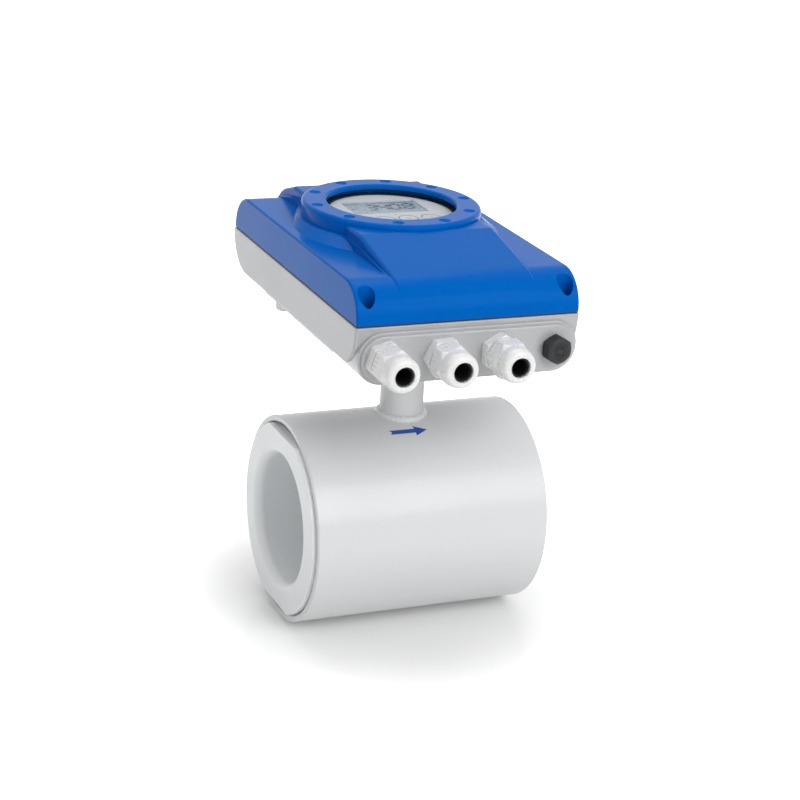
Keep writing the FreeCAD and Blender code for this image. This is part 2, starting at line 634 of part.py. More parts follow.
def magnet():
    """Make the field coils, their cores and the yoke band that joins them."""
    for name, turn in (("upper", None), ("lower", DOWNWARD)):
        coil = turned(f"winding_{name}", [
            ("coil_inner_radius", "coil_start", "1"),
            ("coil_outer_radius", "coil_start", "1.5"),
            ("coil_outer_radius", "coil_end", "1.5"),
            ("coil_inner_radius", "coil_end", "1"),
        ], turn=turn)
        keep(coil, f"coil_{name}")
        core_radius = "(coil_inner_radius - core_gap)"
        core = turned(f"core_{name}", [
            ("0", "meter_outside + core_gap"),
            (core_radius, "meter_outside + core_gap"),
            (core_radius, f"sqrt(yoke_inside ^ 2 - {core_radius} ^ 2) - core_gap / 2"),
            ("0", f"sqrt(yoke_inside ^ 2 - {core_radius} ^ 2) - core_gap / 2"),
        ], turn=turn)
        keep(core, f"pole_core_{name}")
    band = turned("band", [
        ("yoke_inside", "-yoke_length / 2"),
        ("yoke_outside", "-yoke_length / 2"),
        ("yoke_outside", "yoke_length / 2"),
        ("yoke_inside", "yoke_length / 2"),
    ], turn=ALONG_X)
    side_window = rod("side_window", "yoke_window", "2 * tube_radius", (0, "tube_radius", 0), TO_FRONT)
    lead_windows = [rod(f"lead_window_{number}", "2 * lead_radius", "tube_radius", (x, y, 0))
                    for number, (x, y) in enumerate(lead_places(), 1)]
    keep(cut("band_with_windows", band, side_window, *lead_windows), "yoke_band")


def neck():
    """Make the neck with its weld bead, its flange, seal, screws and leads."""
    tube = turned("neck_pipe", [
        ("neck_radius - neck_wall", "0"),
        ("neck_radius", "0"),
        ("neck_radius", "flange_top"),
        ("neck_radius - neck_wall", "flange_top"),
    ])
    bead = primitive("Torus", "bead", (0, 0, "tube_radius - 0.2 * bead_radius"),
                     Radius1="neck_radius", Radius2="bead_radius")
    bead_bore = rod("bead_bore", "neck_radius - neck_wall", "2 * tube_radius", (0, 0, 0))
    saddle = rod("saddle", "tube_radius", "2 * tube_radius", ("-tube_radius", 0, 0), ALONG_X)
    keep(cut("neck_welded", fuse("neck_and_bead", tube, bead), bead_bore, saddle), "neck_tube")

    plate = turned("flange_plate", [
        ("neck_radius + fit_gap", "flange_top - flange_thickness"),
        ("flange_radius", "flange_top - flange_thickness", "1"),
        ("flange_radius", "flange_top"),
        ("neck_radius + fit_gap", "flange_top"),
    ])
    seal = turned("flange_seal", [
        ("neck_radius - neck_wall", "flange_top"),
        ("flange_radius - 1", "flange_top"),
        ("flange_radius - 1", "pad_bottom"),
        ("neck_radius - neck_wall", "pad_bottom"),
    ])
    screws = []
    for number, (x, y) in enumerate(neck_screw_places(), 1):
        head = rod(f"neck_head_{number}", "1.8 * flange_screw_radius", "flange_screw_radius * 2",
                   (x, y, "flange_top - flange_thickness - flange_screw_radius * 2"))
        socket = hexagon(f"neck_socket_{number}", "1.6 * flange_screw_radius", "1.2 * flange_screw_radius",
                         (x, y, "flange_top - flange_thickness - flange_screw_radius * 2"))
        shank = rod(f"neck_shank_{number}", "flange_screw_radius",
                    "flange_thickness + neck_seal_thickness + neck_screw_bite",
                    (x, y, "flange_top - flange_thickness"))
        screws.append(cut(f"neck_screw_{number}", fuse(f"neck_bolt_{number}", head, shank), socket))
    keep(cut("flange_drilled", plate, *neck_screw_holes("flange")), "neck_flange")
    keep(cut("seal_drilled", seal, *neck_screw_holes("seal")), "neck_seal")
    keep(group("neck_bolts", screws), "neck_screws")


def lead_places():
    """Give the four places where leads go up the neck."""
    return [("-lead_reach", "0"), ("lead_reach", "0"), ("0", "-lead_reach"), ("0", "lead_reach")]


def neck_screw_places():
    """Give the four places of the neck's screws."""
    diagonal = f"flange_screw_circle * {math.sqrt(0.5):.6f}"
    return [(f"{x} * {diagonal}", f"{y} * {diagonal}") for x, y in ((-1, -1), (1, -1), (1, 1), (-1, 1))]


def neck_screw_holes(owner):
    """Make the tools that drill the neck's screw holes in one piece."""
    return [rod(f"{owner}_screw_hole_{number}", "flange_screw_radius + screw_gap", "flange_radius",
                (x, y, "flange_top - flange_thickness - 1"))
            for number, (x, y) in enumerate(neck_screw_places(), 1)]


def sensor_leads():
    """Lead the coils and electrodes up the neck to the connector under the board."""
    radius = amount("lead_radius")
    top = "board_height - 8"
    over_coil = "coil_end + 1.6 * lead_radius"
    coil_leads = [lead(f"coil_lead_{name}", [
        (f"{side} * coil_outer_radius * 0.8", "0", "coil_end"),
        (f"{side} * coil_outer_radius * 0.8", "0", over_coil + " + 0.4 * lead_radius"),
        (f"{side} * lead_reach", "0", over_coil + " + 0.4 * lead_radius"),
        (f"{side} * lead_reach", "0", top),
    ], radius, 1.2 * radius) for name, side in (("inlet", -1), ("outlet", 1))]
    keep(group("coil_wires", coil_leads), "coil_leads")
    out = "(yoke_length / 2 + 3 * lead_radius)"
    arch = "(yoke_inside + yoke_wall / 2)"
    electrode_leads = []
    for name, side in (("front", -1), ("back", 1)):
        start = f"{side} * (meter_outside + socket_height + 5 + 1.1 * lead_radius)"
        points = [("electrode_radius", start, "0"), (out, start, "0")]
        for angle in (20, 45, 68):
            points.append((out, f"{side} * {arch} * {math.cos(math.radians(angle)):.6f}",
                           f"{arch} * {math.sin(math.radians(angle)):.6f}"))
        points.append((out, f"{side} * lead_reach", over_coil))
        points.append(("0", f"{side} * lead_reach", over_coil))
        points.append(("0", f"{side} * lead_reach", top))
        electrode_leads.append(lead(f"electrode_lead_{name}", points, radius, 2.4 * radius))
    keep(group("electrode_wires", electrode_leads), "electrode_leads")


def entry_block(name, inset, start, depth):
    """Make a round-ended block along the row of cable entries, from a distance in front."""
    half_length = f"(boss_half_length - ({inset}))"
    half_height = f"(boss_half_height - ({inset}))"
    outline = [(f"{x} * {half_length}", f"{z} * {half_height}", f"boss_round - ({inset})")
               for x, z in ((-1, -1), (1, -1), (1, 1), (-1, 1))]
    return extruded(name, "XY_Plane", outline, depth, (0, f"-({start})", "entry_height"), turn=TO_BACK)


def corner_places():
    """Give the four places of the cover's screws."""
    sides = ("-corner_screw_side", "corner_screw_side")
    return [(x, y) for y in ("-corner_screw_front", "corner_screw_back") for x in sides]


def pillar_places():
    """Give the four places of the pillars under the main board."""
    return [(x, y) for y in ("-pillar_front", "pillar_back") for x in ("-pillar_side", "pillar_side")]


def base_block(name):
    """Make the base's rounded block, with its front leaning in towards the bottom."""
    return extruded(name, "YZ_Plane", [
        ("-converter_front", "split_height"),
        ("-converter_front + base_draft", "base_bottom", "base_front_round"),
        ("converter_back", "base_bottom", "base_back_round"),
        ("converter_back", "split_height"),
    ], "2 * converter_half_width", midplane=True)


def on_side(box, half_width, height, above):
    """Tell whether an edge lies on a block's side, and above or below a height."""
    beside = box.XLength < 0.01 and abs(abs(box.XMin) - amount(half_width)) < 0.01
    reach = box.ZMax - amount(height) if above else amount(height) - box.ZMin
    return beside and reach > 0.01


def base():
    """Make the die-cast base, its seal and its vent."""
    width = "converter_half_width"
    shell = base_block("base_shell")
    round_edges(shell, "base_edge_round", lambda box: on_side(box, width, "split_height", False))
    round_edges(shell, "base_rim_round", lambda box: box.ZMin > amount("split_height") - 0.01)
    hollow = extruded("base_hollow", "YZ_Plane", [
        ("-converter_front + base_wall", "split_height + 1"),
        ("-converter_front + base_draft + base_wall", "base_floor", "base_front_round - base_wall"),
        ("converter_back - base_wall", "base_floor", "base_back_round - base_wall"),
        ("converter_back - base_wall", "split_height + 1"),
    ], f"2 * ({width} - base_wall)", midplane=True)
    pad = block("base_pad_block", ("-pad_half_width", "-pad_front", "pad_bottom"),
                ("2 * pad_half_width", "pad_front + pad_back", "base_pad + base_wall / 2"))
    boss = entry_block("entry_boss", "0", "boss_face", "boss_reach + boss_depth")
    round_edges(boss, "boss_edge_round", lambda box: box.ZMax < 0.01)
    lip = entry_block("entry_boss_lip", "-boss_step", "converter_front + boss_step_reach",
                      "boss_step_reach + boss_depth")
    round_edges(lip, "boss_step_round", lambda box: box.ZMax < 0.01)
    pocket = entry_block("entry_pocket", "entry_pocket_wall", "boss_face - entry_wall",
                         "boss_depth + boss_reach - entry_wall - base_wall")
    open_base = cut("base_open", fuse("base_outside", shell, pad, boss, lip), hollow, pocket)
    posts = [rod(f"base_post_{number}", "corner_post_radius", "post_length", (x, y, "post_foot"))
             for number, (x, y) in enumerate(corner_places(), 1)]
    pillars = [rod(f"base_pillar_{number}", "pillar_radius", "board_rise", (x, y, "base_floor"))
               for number, (x, y) in enumerate(pillar_places(), 1)]
    bosses = [rod(f"neck_boss_{number}", "2.2 * flange_screw_radius", "8", (x, y, "base_floor"))
              for number, (x, y) in enumerate(neck_screw_places(), 1)]
    posts_inside = common("posts_inside", fuse("posts", *posts), base_block("base_envelope"))
    solid = fuse("base_solid", open_base, posts_inside, *pillars, *bosses)
    holes = [rod("lead_opening", "neck_radius - neck_wall", "3 * base_wall", (0, 0, "pad_bottom - 1"))]
    holes += neck_screw_holes("base")
    holes += [rod(f"post_hole_{number}", "corner_screw_radius + screw_gap", "post_length",
                  (x, y, "post_foot + post_floor")) for number, (x, y) in enumerate(corner_places(), 1)]
    holes += [rod(f"pillar_hole_{number}", "board_screw_radius + screw_gap", "board_screw_bite + 3",
                  (x, y, "board_height - board_screw_bite - 2"))
              for number, (x, y) in enumerate(pillar_places(), 1)]
    for number, step in enumerate(ENTRIES, 1):
        thread = "plug_thread_radius" if step == ENTRIES[-1] else "gland_thread_radius"
        holes.append(rod(f"entry_hole_{number}", f"{thread} + fit_gap", "entry_wall + 1",
                         (f"{step} * entry_spacing", "-boss_face", "entry_height"), TO_BACK))
    holes.append(rod("vent_hole", "vent_radius / 2 + fit_gap", "3 * base_wall",
                     ("-vent_side", "vent_back", "pad_bottom - 1")))
    keep(cut("base_finished", solid, *holes), "converter_base")

    seal_outer = slab("seam_outer", (f"-{width} + seam_inset", "-converter_front + seam_inset"),
                      (f"{width} - seam_inset", "converter_back - seam_inset"), "1",
                      "split_height", "seam_thickness")
    seal_inner = slab("seam_inner",
                      (f"-{width} + seam_inset + seam_width", "-converter_front + seam_inset + seam_width"),
                      (f"{width} - seam_inset - seam_width", "converter_back - seam_inset - seam_width"),
                      "1", "split_height - 1", "seam_thickness + 2")
    keep(cut("seam", seal_outer, seal_inner), "seam_seal")

    vent = turned("vent_body", [
        ("0", "pad_bottom - vent_height", "0.4"),
        ("vent_radius", "pad_bottom - vent_height", "2"),
        ("vent_radius", "pad_bottom"),
        ("vent_radius / 2", "pad_bottom"),
        ("vent_radius / 2", "base_floor + 2"),
        ("0", "base_floor + 2"),
    ], ("-vent_side", "vent_back", 0))
    keep(vent, "vent_plug")


def collar():
    """Make the step that runs round the ring and beside the band, with hollow corners."""
    half = amount("collar_half_width")
    radius = amount("collar_radius")
    blend = amount("collar_blend")
    middle = amount("ring_back")
    front, back = -amount("cover_front"), amount("cover_back")
    rise = math.sqrt((radius + blend) ** 2 - (half + blend) ** 2)
    angle = math.atan2(rise, half + blend)
    edges = []

    def touch(x_side, y_side):
        return Vector(x_side * radius * math.cos(angle), middle + y_side * radius * math.sin(angle), 0)

    def blend_arc(x_side, y_side):
        centre = Vector(x_side * (half + blend), middle + y_side * rise, 0)
        foot = Vector(x_side * half, middle + y_side * rise, 0)
        along = (foot - centre + touch(x_side, y_side) - centre).normalize()
        return foot, centre + along * blend

    for x_side, y_side in ((1, -1), (-1, 1)):
        end_y = front if y_side < 0 else back
        foot, inner = blend_arc(x_side, y_side)
        other_foot, other_inner = blend_arc(x_side, -y_side)
        other_end = back if y_side < 0 else front
        near = touch(x_side, y_side)
        far = touch(x_side, -y_side)
        outmost = Vector(x_side * radius, middle, 0)
        turning_point = Vector(x_side * half, other_end, 0)
        edges.append(Part.LineSegment(Vector(x_side * half, end_y, 0), foot).toShape())
        edges.append(Part.Arc(foot, inner, near).toShape())
        edges.append(Part.Arc(near, outmost, far).toShape())
        edges.append(Part.Arc(far, other_inner, other_foot).toShape())
        edges.append(Part.LineSegment(other_foot, turning_point).toShape())
        edges.append(Part.LineSegment(turning_point, Vector(-x_side * half, other_end, 0)).toShape())
    start = amount("cover_bottom")
    face = Part.Face(Part.Wire(edges))
    thing = doc.addObject("Part::Feature", "collar_step")
    thing.Shape = face.extrude(Vector(0, 0, amount("collar_top") - start))
    thing.Placement = Placement(Vector(0, 0, start), Rotation())
    return thing


def sloping_block(name, half_width, front_edge, top, back_edge):
    """Make a block over the cover's length that slopes down from the ring to both ends."""
    return extruded(name, "YZ_Plane", [
        ("-cover_front", "cover_bottom"),
        ("-cover_front", front_edge, "band_round"),
        ("ring_back - ring_radius", top),
        ("ring_back + ring_radius", top),
        ("cover_back", back_edge, "band_round"),
        ("cover_back", "cover_bottom"),
    ], f"2 * {half_width}", midplane=True)


def skirt():
    """Make the flared foot by which the step round the ring stands on the shelf."""
    foot = primitive("Circle", "skirt_foot", (0, "skirt_back", "cover_top"), Radius="skirt_radius")
    head = primitive("Circle", "skirt_head", (0, "ring_back", "collar_top"), Radius="collar_radius")
    flare = doc.addObject("Part::Loft", "skirt")
    flare.Sections = [foot, head]
    flare.Solid = True
    return flare


def cover_block(name, inset):
    """Make the cover's rounded block, drawn in from its outside by an inset."""
    return extruded(name, "YZ_Plane", [
        (f"-cover_front + {inset}", "cover_bottom"),
        (f"-cover_front + {inset}", f"cover_top - {inset}", f"cover_round - {inset}"),
        (f"cover_back - {inset}", f"cover_top - {inset}", f"cover_round - {inset}"),
        (f"cover_back - {inset}", "cover_bottom"),
    ], f"2 * (cover_half_width - {inset})", midplane=True)


def cover():
    """Make the cast cover with its window ring, raised band and screw wells."""
    ring = turned("window_ring", [
        ("0", "cover_bottom"),
        ("ring_radius", "cover_bottom"),
        ("ring_radius", "ring_top", "ring_outer_round"),
        ("window_radius", "ring_top", "ring_inner_round"),
        ("window_radius", "glass_seat"),
        ("0", "glass_seat"),
    ], (0, "ring_back", 0))
    envelope = sloping_block("step_envelope", "converter_half_width", "collar_front_edge",
                             "collar_top", "collar_back_edge")
    step = common("step_sloping", collar(), envelope)
    outside = cover_block("cover_outside", "0")
    round_edges(outside, "cover_edge_round",
                lambda box: on_side(box, "cover_half_width", "cover_bottom", True))
    band = sloping_block("band_outside", "band_half_width", "band_front_edge", "band_top", "band_back_edge")
    round_edges(band, "band_edge_round",
                lambda box: on_side(box, "band_half_width", "cover_bottom", True))
    groove = turned("ring_groove", [
        ("ring_radius", "band_top - groove_width"),
        ("ring_radius + groove_width", "band_top - groove_width"),
        ("ring_radius + groove_width", "ring_top"),
        ("ring_radius", "ring_top"),
    ], (0, "ring_back", 0))
    opening = rod("window_opening", "window_radius", "ring_top", (0, "ring_back", "cover_bottom"))
    raised = fuse("cover_raised", outside, band, step, skirt(), ring)
    glass_bore = rod("glass_bore", "glass_radius + seat_gap", "glass_seat - cover_bottom",
                     (0, "ring_back", "cover_bottom"))
    retainer_bore = rod("retainer_bore", "retainer_radius + seat_gap", "retainer_top - cover_bottom",
                        (0, "ring_back", "cover_bottom"))
    dimples = []
    for number in range(10):
        angle = math.radians(36 * number)
        dimples.append(primitive("Sphere", f"dimple_{number + 1}", (
            f"dimple_circle * {math.cos(angle):.6f}",
            f"ring_back + dimple_circle * {math.sin(angle):.6f}",
            "ring_top + dimple_ball - dimple_depth"), Radius="dimple_ball"))
    band_hollow = block("band_hollow",
                        ("-band_half_width + cover_wall", "ring_back - ring_radius", "cover_bottom"),
                        ("2 * (band_half_width - cover_wall)", "2 * ring_radius",
                         "band_top - cover_wall - band_extra_wall - cover_bottom"))
    opened = cut("cover_opened", raised, cover_block("cover_inside", "cover_wall"), band_hollow,
                 glass_bore, retainer_bore, opening, groove, *dimples)
    posts = [rod(f"cover_post_{number}", "corner_post_radius", "cover_height", (x, y, "cover_bottom"))
             for number, (x, y) in enumerate(corner_places(), 1)]
    posts_inside = common("cover_posts_inside", fuse("cover_posts", *posts),
                          cover_block("cover_envelope", "0"))
    wells = [rod(f"well_{number}", "well_radius", "cover_top", (x, y, "well_floor"))
             for number, (x, y) in enumerate(corner_places(), 1)]
    holes = [rod(f"cover_hole_{number}", "corner_screw_radius + screw_gap", "cover_height",
                 (x, y, "split_height")) for number, (x, y) in enumerate(corner_places(), 1)]
    keep(cut("cover_finished", fuse("cover_with_posts", opened, posts_inside), *wells, *holes,
             *retainer_holes("cover", "retainer_screw_bite + 1")), "cover")

    screws = []
    for number, (x, y) in enumerate(corner_places(), 1):
        head = rod(f"corner_head_{number}", "corner_head_radius", "corner_head_height",
                   (x, y, "well_floor"))
        shank = rod(f"corner_shank_{number}", "corner_screw_radius", "well_floor - corner_screw_end",
                    (x, y, "corner_screw_end"))
        socket = hexagon(f"corner_socket_{number}", "corner_head_radius", "corner_head_height / 2",
                         (x, y, "well_floor + corner_head_height / 2"))
        screws.append(cut(f"corner_screw_{number}", fuse(f"corner_bolt_{number}", head, shank), socket))
    keep(group("corner_screws", screws), "cover_screws")


def retainer_places():
    """Give the six places of the clamping ring's screws, between the dimples."""
    places = []
    for number in range(6):
        angle = math.radians(60 * number + 30)
        places.append((f"retainer_screw_circle * {math.cos(angle):.6f}",
                       f"ring_back + retainer_screw_circle * {math.sin(angle):.6f}"))
    return places


def retainer_holes(owner, depth):
    """Make the tools that drill the clamping ring's screw holes in one piece."""
    return [rod(f"{owner}_retainer_hole_{number}", "retainer_screw_radius + fit_gap",
                f"retainer_thickness + {depth} + 1", (x, y, "retainer_bottom - 1"))
            for number, (x, y) in enumerate(retainer_places(), 1)]


def window():
    """Make the window's glass, seal, clamping ring and screws."""
    keep(rod("glass_disc", "glass_radius", "glass_thickness", (0, "ring_back", "retainer_top")),
         "window_glass")
    seal = turned("glass_seal", [
        ("window_radius + 1", "glass_seat - glass_seal_thickness"),
        ("glass_radius", "glass_seat - glass_seal_thickness"),
        ("glass_radius", "glass_seat"),
        ("window_radius + 1", "glass_seat"),
    ], (0, "ring_back", 0))
    keep(seal, "window_seal")
    ring = turned("retainer", [
        ("retainer_inner_radius", "retainer_bottom", "0.5"),
        ("retainer_radius", "retainer_bottom", "0.5"),
        ("retainer_radius", "retainer_top"),
        ("retainer_inner_radius", "retainer_top"),
    ], (0, "ring_back", 0))
    keep(cut("retainer_drilled", ring, *retainer_holes("ring", 1)), "window_clamp_ring")
    screws = []
    for number, (x, y) in enumerate(retainer_places(), 1):
        shank = rod(f"clamp_shank_{number}", "retainer_screw_radius",
                    "retainer_thickness + retainer_screw_bite", (x, y, "retainer_bottom"))
        head = rod(f"clamp_head_{number}", "1.9 * retainer_screw_radius", "1.6 * retainer_screw_radius",
                   (x, y, "retainer_bottom - 1.6 * retainer_screw_radius"))
        screws.append(fuse(f"clamp_screw_{number}", shank, head))
    keep(group("clamp_screws", screws), "window_clamp_screws")


def glands():
    """Make the three cable glands and the blind plug with their seals."""
    seals = []
    face = "-boss_face"
    for number, (step, turns) in enumerate(zip(ENTRIES, GLAND_TURNS), 1):
        place = (f"{step} * entry_spacing", face, "entry_height")
        body_turn, nut_turn = [TO_FRONT.multiply(Rotation(Vector(0, 0, 1), angle)) for angle in turns]
        sides = hexagon(f"flange_blank_{number}", "gland_across_flats", "gland_flange", place, body_turn)
        flange = common(f"gland_hexagon_{number}", sides,
                        turned(f"gland_flange_edge_{number}", [
                            ("0", "0"),
                            ("gland_across_flats * 0.56", "0"),
                            ("gland_across_flats * 0.56", "gland_flange - 0.8"),
                            ("gland_across_flats * 0.52", "gland_flange"),
                            ("0", "gland_flange"),
                        ], place, TO_FRONT))
        threads = turned(f"gland_threads_{number}", [
            ("0", "-gland_thread_length"),
            ("gland_thread_radius - 0.6", "-gland_thread_length"),
            ("gland_thread_radius", "-gland_thread_length + 0.6"),
            ("gland_thread_radius", "gland_flange / 2"),
            ("nut_thread_radius", "gland_flange / 2"),
            ("nut_thread_radius", "nut_thread_end - 1"),
            ("nut_thread_radius - 1", "nut_thread_end"),
            ("0", "nut_thread_end"),
        ], place, TO_FRONT)
        bore = turned(f"gland_bore_{number}", [
            ("0", "-gland_thread_length - 1"),
            ("grip_radius + 0.6", "-gland_thread_length - 1"),
            ("grip_radius + 0.6", "insert_start - seat_gap"),
            ("insert_radius + turning_gap", "insert_start - seat_gap"),
            ("insert_radius + turning_gap", "nut_thread_end + 1"),
            ("0", "nut_thread_end + 1"),
        ], place, TO_FRONT)
        groove = turned(f"gland_groove_{number}", [
            ("gland_thread_radius", "-1"),
            ("gland_thread_radius + 2", "-1"),
            ("gland_thread_radius + 2", "seal_thickness"),
            ("gland_thread_radius", "seal_thickness"),
        ], place, TO_FRONT)
        keep(cut(f"gland_drilled_{number}", fuse(f"gland_solid_{number}", flange, threads), bore, groove),
             f"gland_body_{number}")
        seals.append(turned(f"gland_seal_{number}", [
            ("gland_thread_radius + fit_gap", "0"),
            ("gland_thread_radius + 2 - fit_gap", "0"),
            ("gland_thread_radius + 2 - fit_gap", "seal_thickness"),
            ("gland_thread_radius + fit_gap", "seal_thickness"),
        ], place, TO_FRONT))
        insert = turned(f"insert_blank_{number}", [
            ("grip_radius", "insert_start"),
            ("insert_radius", "insert_start"),
            ("insert_radius", "nut_thread_end + seat_gap"),
            ("insert_radius + 1.6", "nut_thread_end + seat_gap"),
            ("insert_radius + 1.6", "insert_end - 4"),
            ("insert_radius", "insert_end"),
            ("grip_radius", "insert_end"),
        ], place, TO_FRONT)
        keep(insert, f"gland_insert_{number}")
        nut_blank = turned(f"nut_dome_{number}", [
            ("nut_thread_radius + turning_gap", "nut_start"),
            ("gland_across_flats * 0.53", "nut_start"),
            ("gland_across_flats * 0.565", "nut_start + 1"),
            ("gland_across_flats * 0.565", "nut_shoulder - 3"),
            ("gland_across_flats * 0.5", "nut_shoulder"),
            ("gland_across_flats * 0.495", "nut_end - 7", "7"),
            ("gland_across_flats * 0.44", "nut_end - 1.8", "3"),
            ("gland_across_flats * 0.36", "nut_end", "1"),
            ("nut_mouth_radius", "nut_end", "0.5"),
            ("nut_mouth_radius", "insert_end + seat_gap"),
            ("insert_radius + seat_gap", "insert_end + seat_gap"),
            ("insert_radius + 1.6 + seat_gap", "insert_end - 4 + seat_gap"),
            ("insert_radius + 1.6 + seat_gap", "nut_thread_end + seat_gap"),
            ("nut_thread_radius + turning_gap", "nut_thread_end + seat_gap"),
        ], place, TO_FRONT)
        flats = hexagon(f"nut_flats_{number}", "gland_across_flats", "nut_end + 1", place, nut_turn)
        keep(common(f"dome_nut_{number}", nut_blank, flats), f"gland_nut_{number}")

    place = (f"{ENTRIES[-1]} * entry_spacing", face, "entry_height")
    keep(turned("plug_ring", [
        ("plug_thread_radius + fit_gap", "0"),
        ("plug_across_flats / 2 - 0.3", "0"),
        ("plug_across_flats / 2 - 0.3", "seal_thickness"),
        ("plug_thread_radius + fit_gap", "seal_thickness"),
    ], place, TO_FRONT), "plug_seal")
    head = common("plug_hexagon",
                  hexagon("plug_flats", "plug_across_flats", "plug_head + seal_thickness", place, TO_FRONT),
                  turned("plug_dome", [
                      ("0", "seal_thickness"),
                      ("plug_across_flats * 0.56", "seal_thickness"),
                      ("plug_across_flats * 0.575", "seal_thickness + 0.8"),
                      ("plug_across_flats * 0.575", "plug_head - 2"),
                      ("plug_across_flats * 0.44", "plug_head + seal_thickness", "1.5"),
                      ("0", "plug_head + seal_thickness"),
                  ], place, TO_FRONT))
    thread = turned("plug_thread", [
        ("0", "-gland_thread_length"),
        ("plug_thread_radius - 0.6", "-gland_thread_length"),
        ("plug_thread_radius", "-gland_thread_length + 0.6"),
        ("plug_thread_radius", "seal_thickness + 1"),
        ("0", "seal_thickness + 1"),
    ], place, TO_FRONT)
    keep(fuse("plug", head, thread), "blind_plug")
    keep(group("entry_seals", seals), "gland_seals")


def electronics():
    """Make the boards, the terminals and the larger parts on the main board."""
    board = slab("board_blank", ("-board_half_width", "-board_front"), ("board_half_width", "board_back"),
                 "board_round", "board_height", "board_thickness")
    holes = [rod(f"board_hole_{number}", "board_screw_radius + screw_gap", "4", (x, y, "board_height - 1"))
             for number, (x, y) in enumerate(pillar_places(), 1)]
    keep(cut("board_drilled", board, *holes), "main_board")
    screws = []
    for number, (x, y) in enumerate(pillar_places(), 1):
        shank = rod(f"board_shank_{number}", "board_screw_radius", "board_thickness + board_screw_bite",
                    (x, y, "board_height - board_screw_bite"))
        head = rod(f"board_head_{number}", "2 * board_screw_radius", "1.5 * board_screw_radius",
                   (x, y, "board_top"))
        screws.append(fuse(f"board_screw_{number}", shank, head))
    keep(group("board_bolts", screws), "board_screws")
    keep(block("connector",
               ("-connector_width / 2", "-connector_depth / 2", "board_height - connector_height"),
               ("connector_width", "connector_depth", "connector_height")), "sensor_connector")

    clamps = []
    for name, start, poles in (("power", "power_terminals", 3), ("signal", "signal_terminals", 7)):
        front = "-board_front + terminal_inset"
        body = extruded(f"terminal_{name}_blank", "YZ_Plane", [
            (front, "board_top"),
            (front, "board_top + terminal_low"),
            (f"{front} + terminal_slope", "board_top + terminal_high"),
            (f"{front} + terminal_depth", "board_top + terminal_high"),
            (f"{front} + terminal_depth", "board_top"),
        ], f"{poles} * terminal_pitch", (start, 0, 0))
        mouths = []
        for pole in range(poles):
            x = f"{start} + terminal_pitch * {pole + 0.5}"
            foot = (x, "-board_front + terminal_screw_place", "board_top + terminal_screw_foot")
            mouths.append(block(f"mouth_{name}_{pole + 1}",
                                (f"{x} - terminal_mouth / 2", f"{front} - 1", "board_top + 2"),
                                ("terminal_mouth", "terminal_mouth_depth", "terminal_mouth")))
            mouths.append(rod(f"clamp_hole_{name}_{pole + 1}", "terminal_screw_radius + screw_gap",
                              "terminal_high", foot))
            clamps.append(rod(f"clamp_{name}_{pole + 1}", "terminal_screw_radius",
                              "terminal_screw_length", foot))
        keep(cut(f"terminal_{name}_drilled", body, *mouths), f"terminal_block_{name}")
    keep(group("clamps", clamps), "terminal_screws")
    keep(block("partition_wall",
               ("-board_half_width", "-board_front + partition_inset", "board_top"),
               ("2 * board_half_width", "partition_thickness", "partition_height")), "terminal_partition")
    side = "-board_half_width + transformer_inset"
    back = "board_back - transformer_back"
    keep(slab("transformer_block", (side, f"{back} - transformer_depth"),
              (f"{side} + transformer_width", back), "2", "board_top", "transformer_height"),
         "transformer")
    capacitors = [turned(f"capacitor_{number}", [
        ("0", "board_top"),
        ("capacitor_radius", "board_top", "0.6"),
        ("capacitor_radius", "board_top + capacitor_height", "0.8"),
        ("0", "board_top + capacitor_height"),
    ], (f"board_half_width - capacitor_inset - {number - 1} * capacitor_spacing",
        "board_back - capacitor_back", 0)) for number in (1, 2)]
    keep(group("capacitor_pair", capacitors), "capacitors")
    back = "board_back - shield_back"
    keep(slab("shield_block", ("-shield_width / 2", f"{back} - shield_depth"), ("shield_width / 2", back),
              "1.5", "board_top", "shield_height"), "processor_shield")


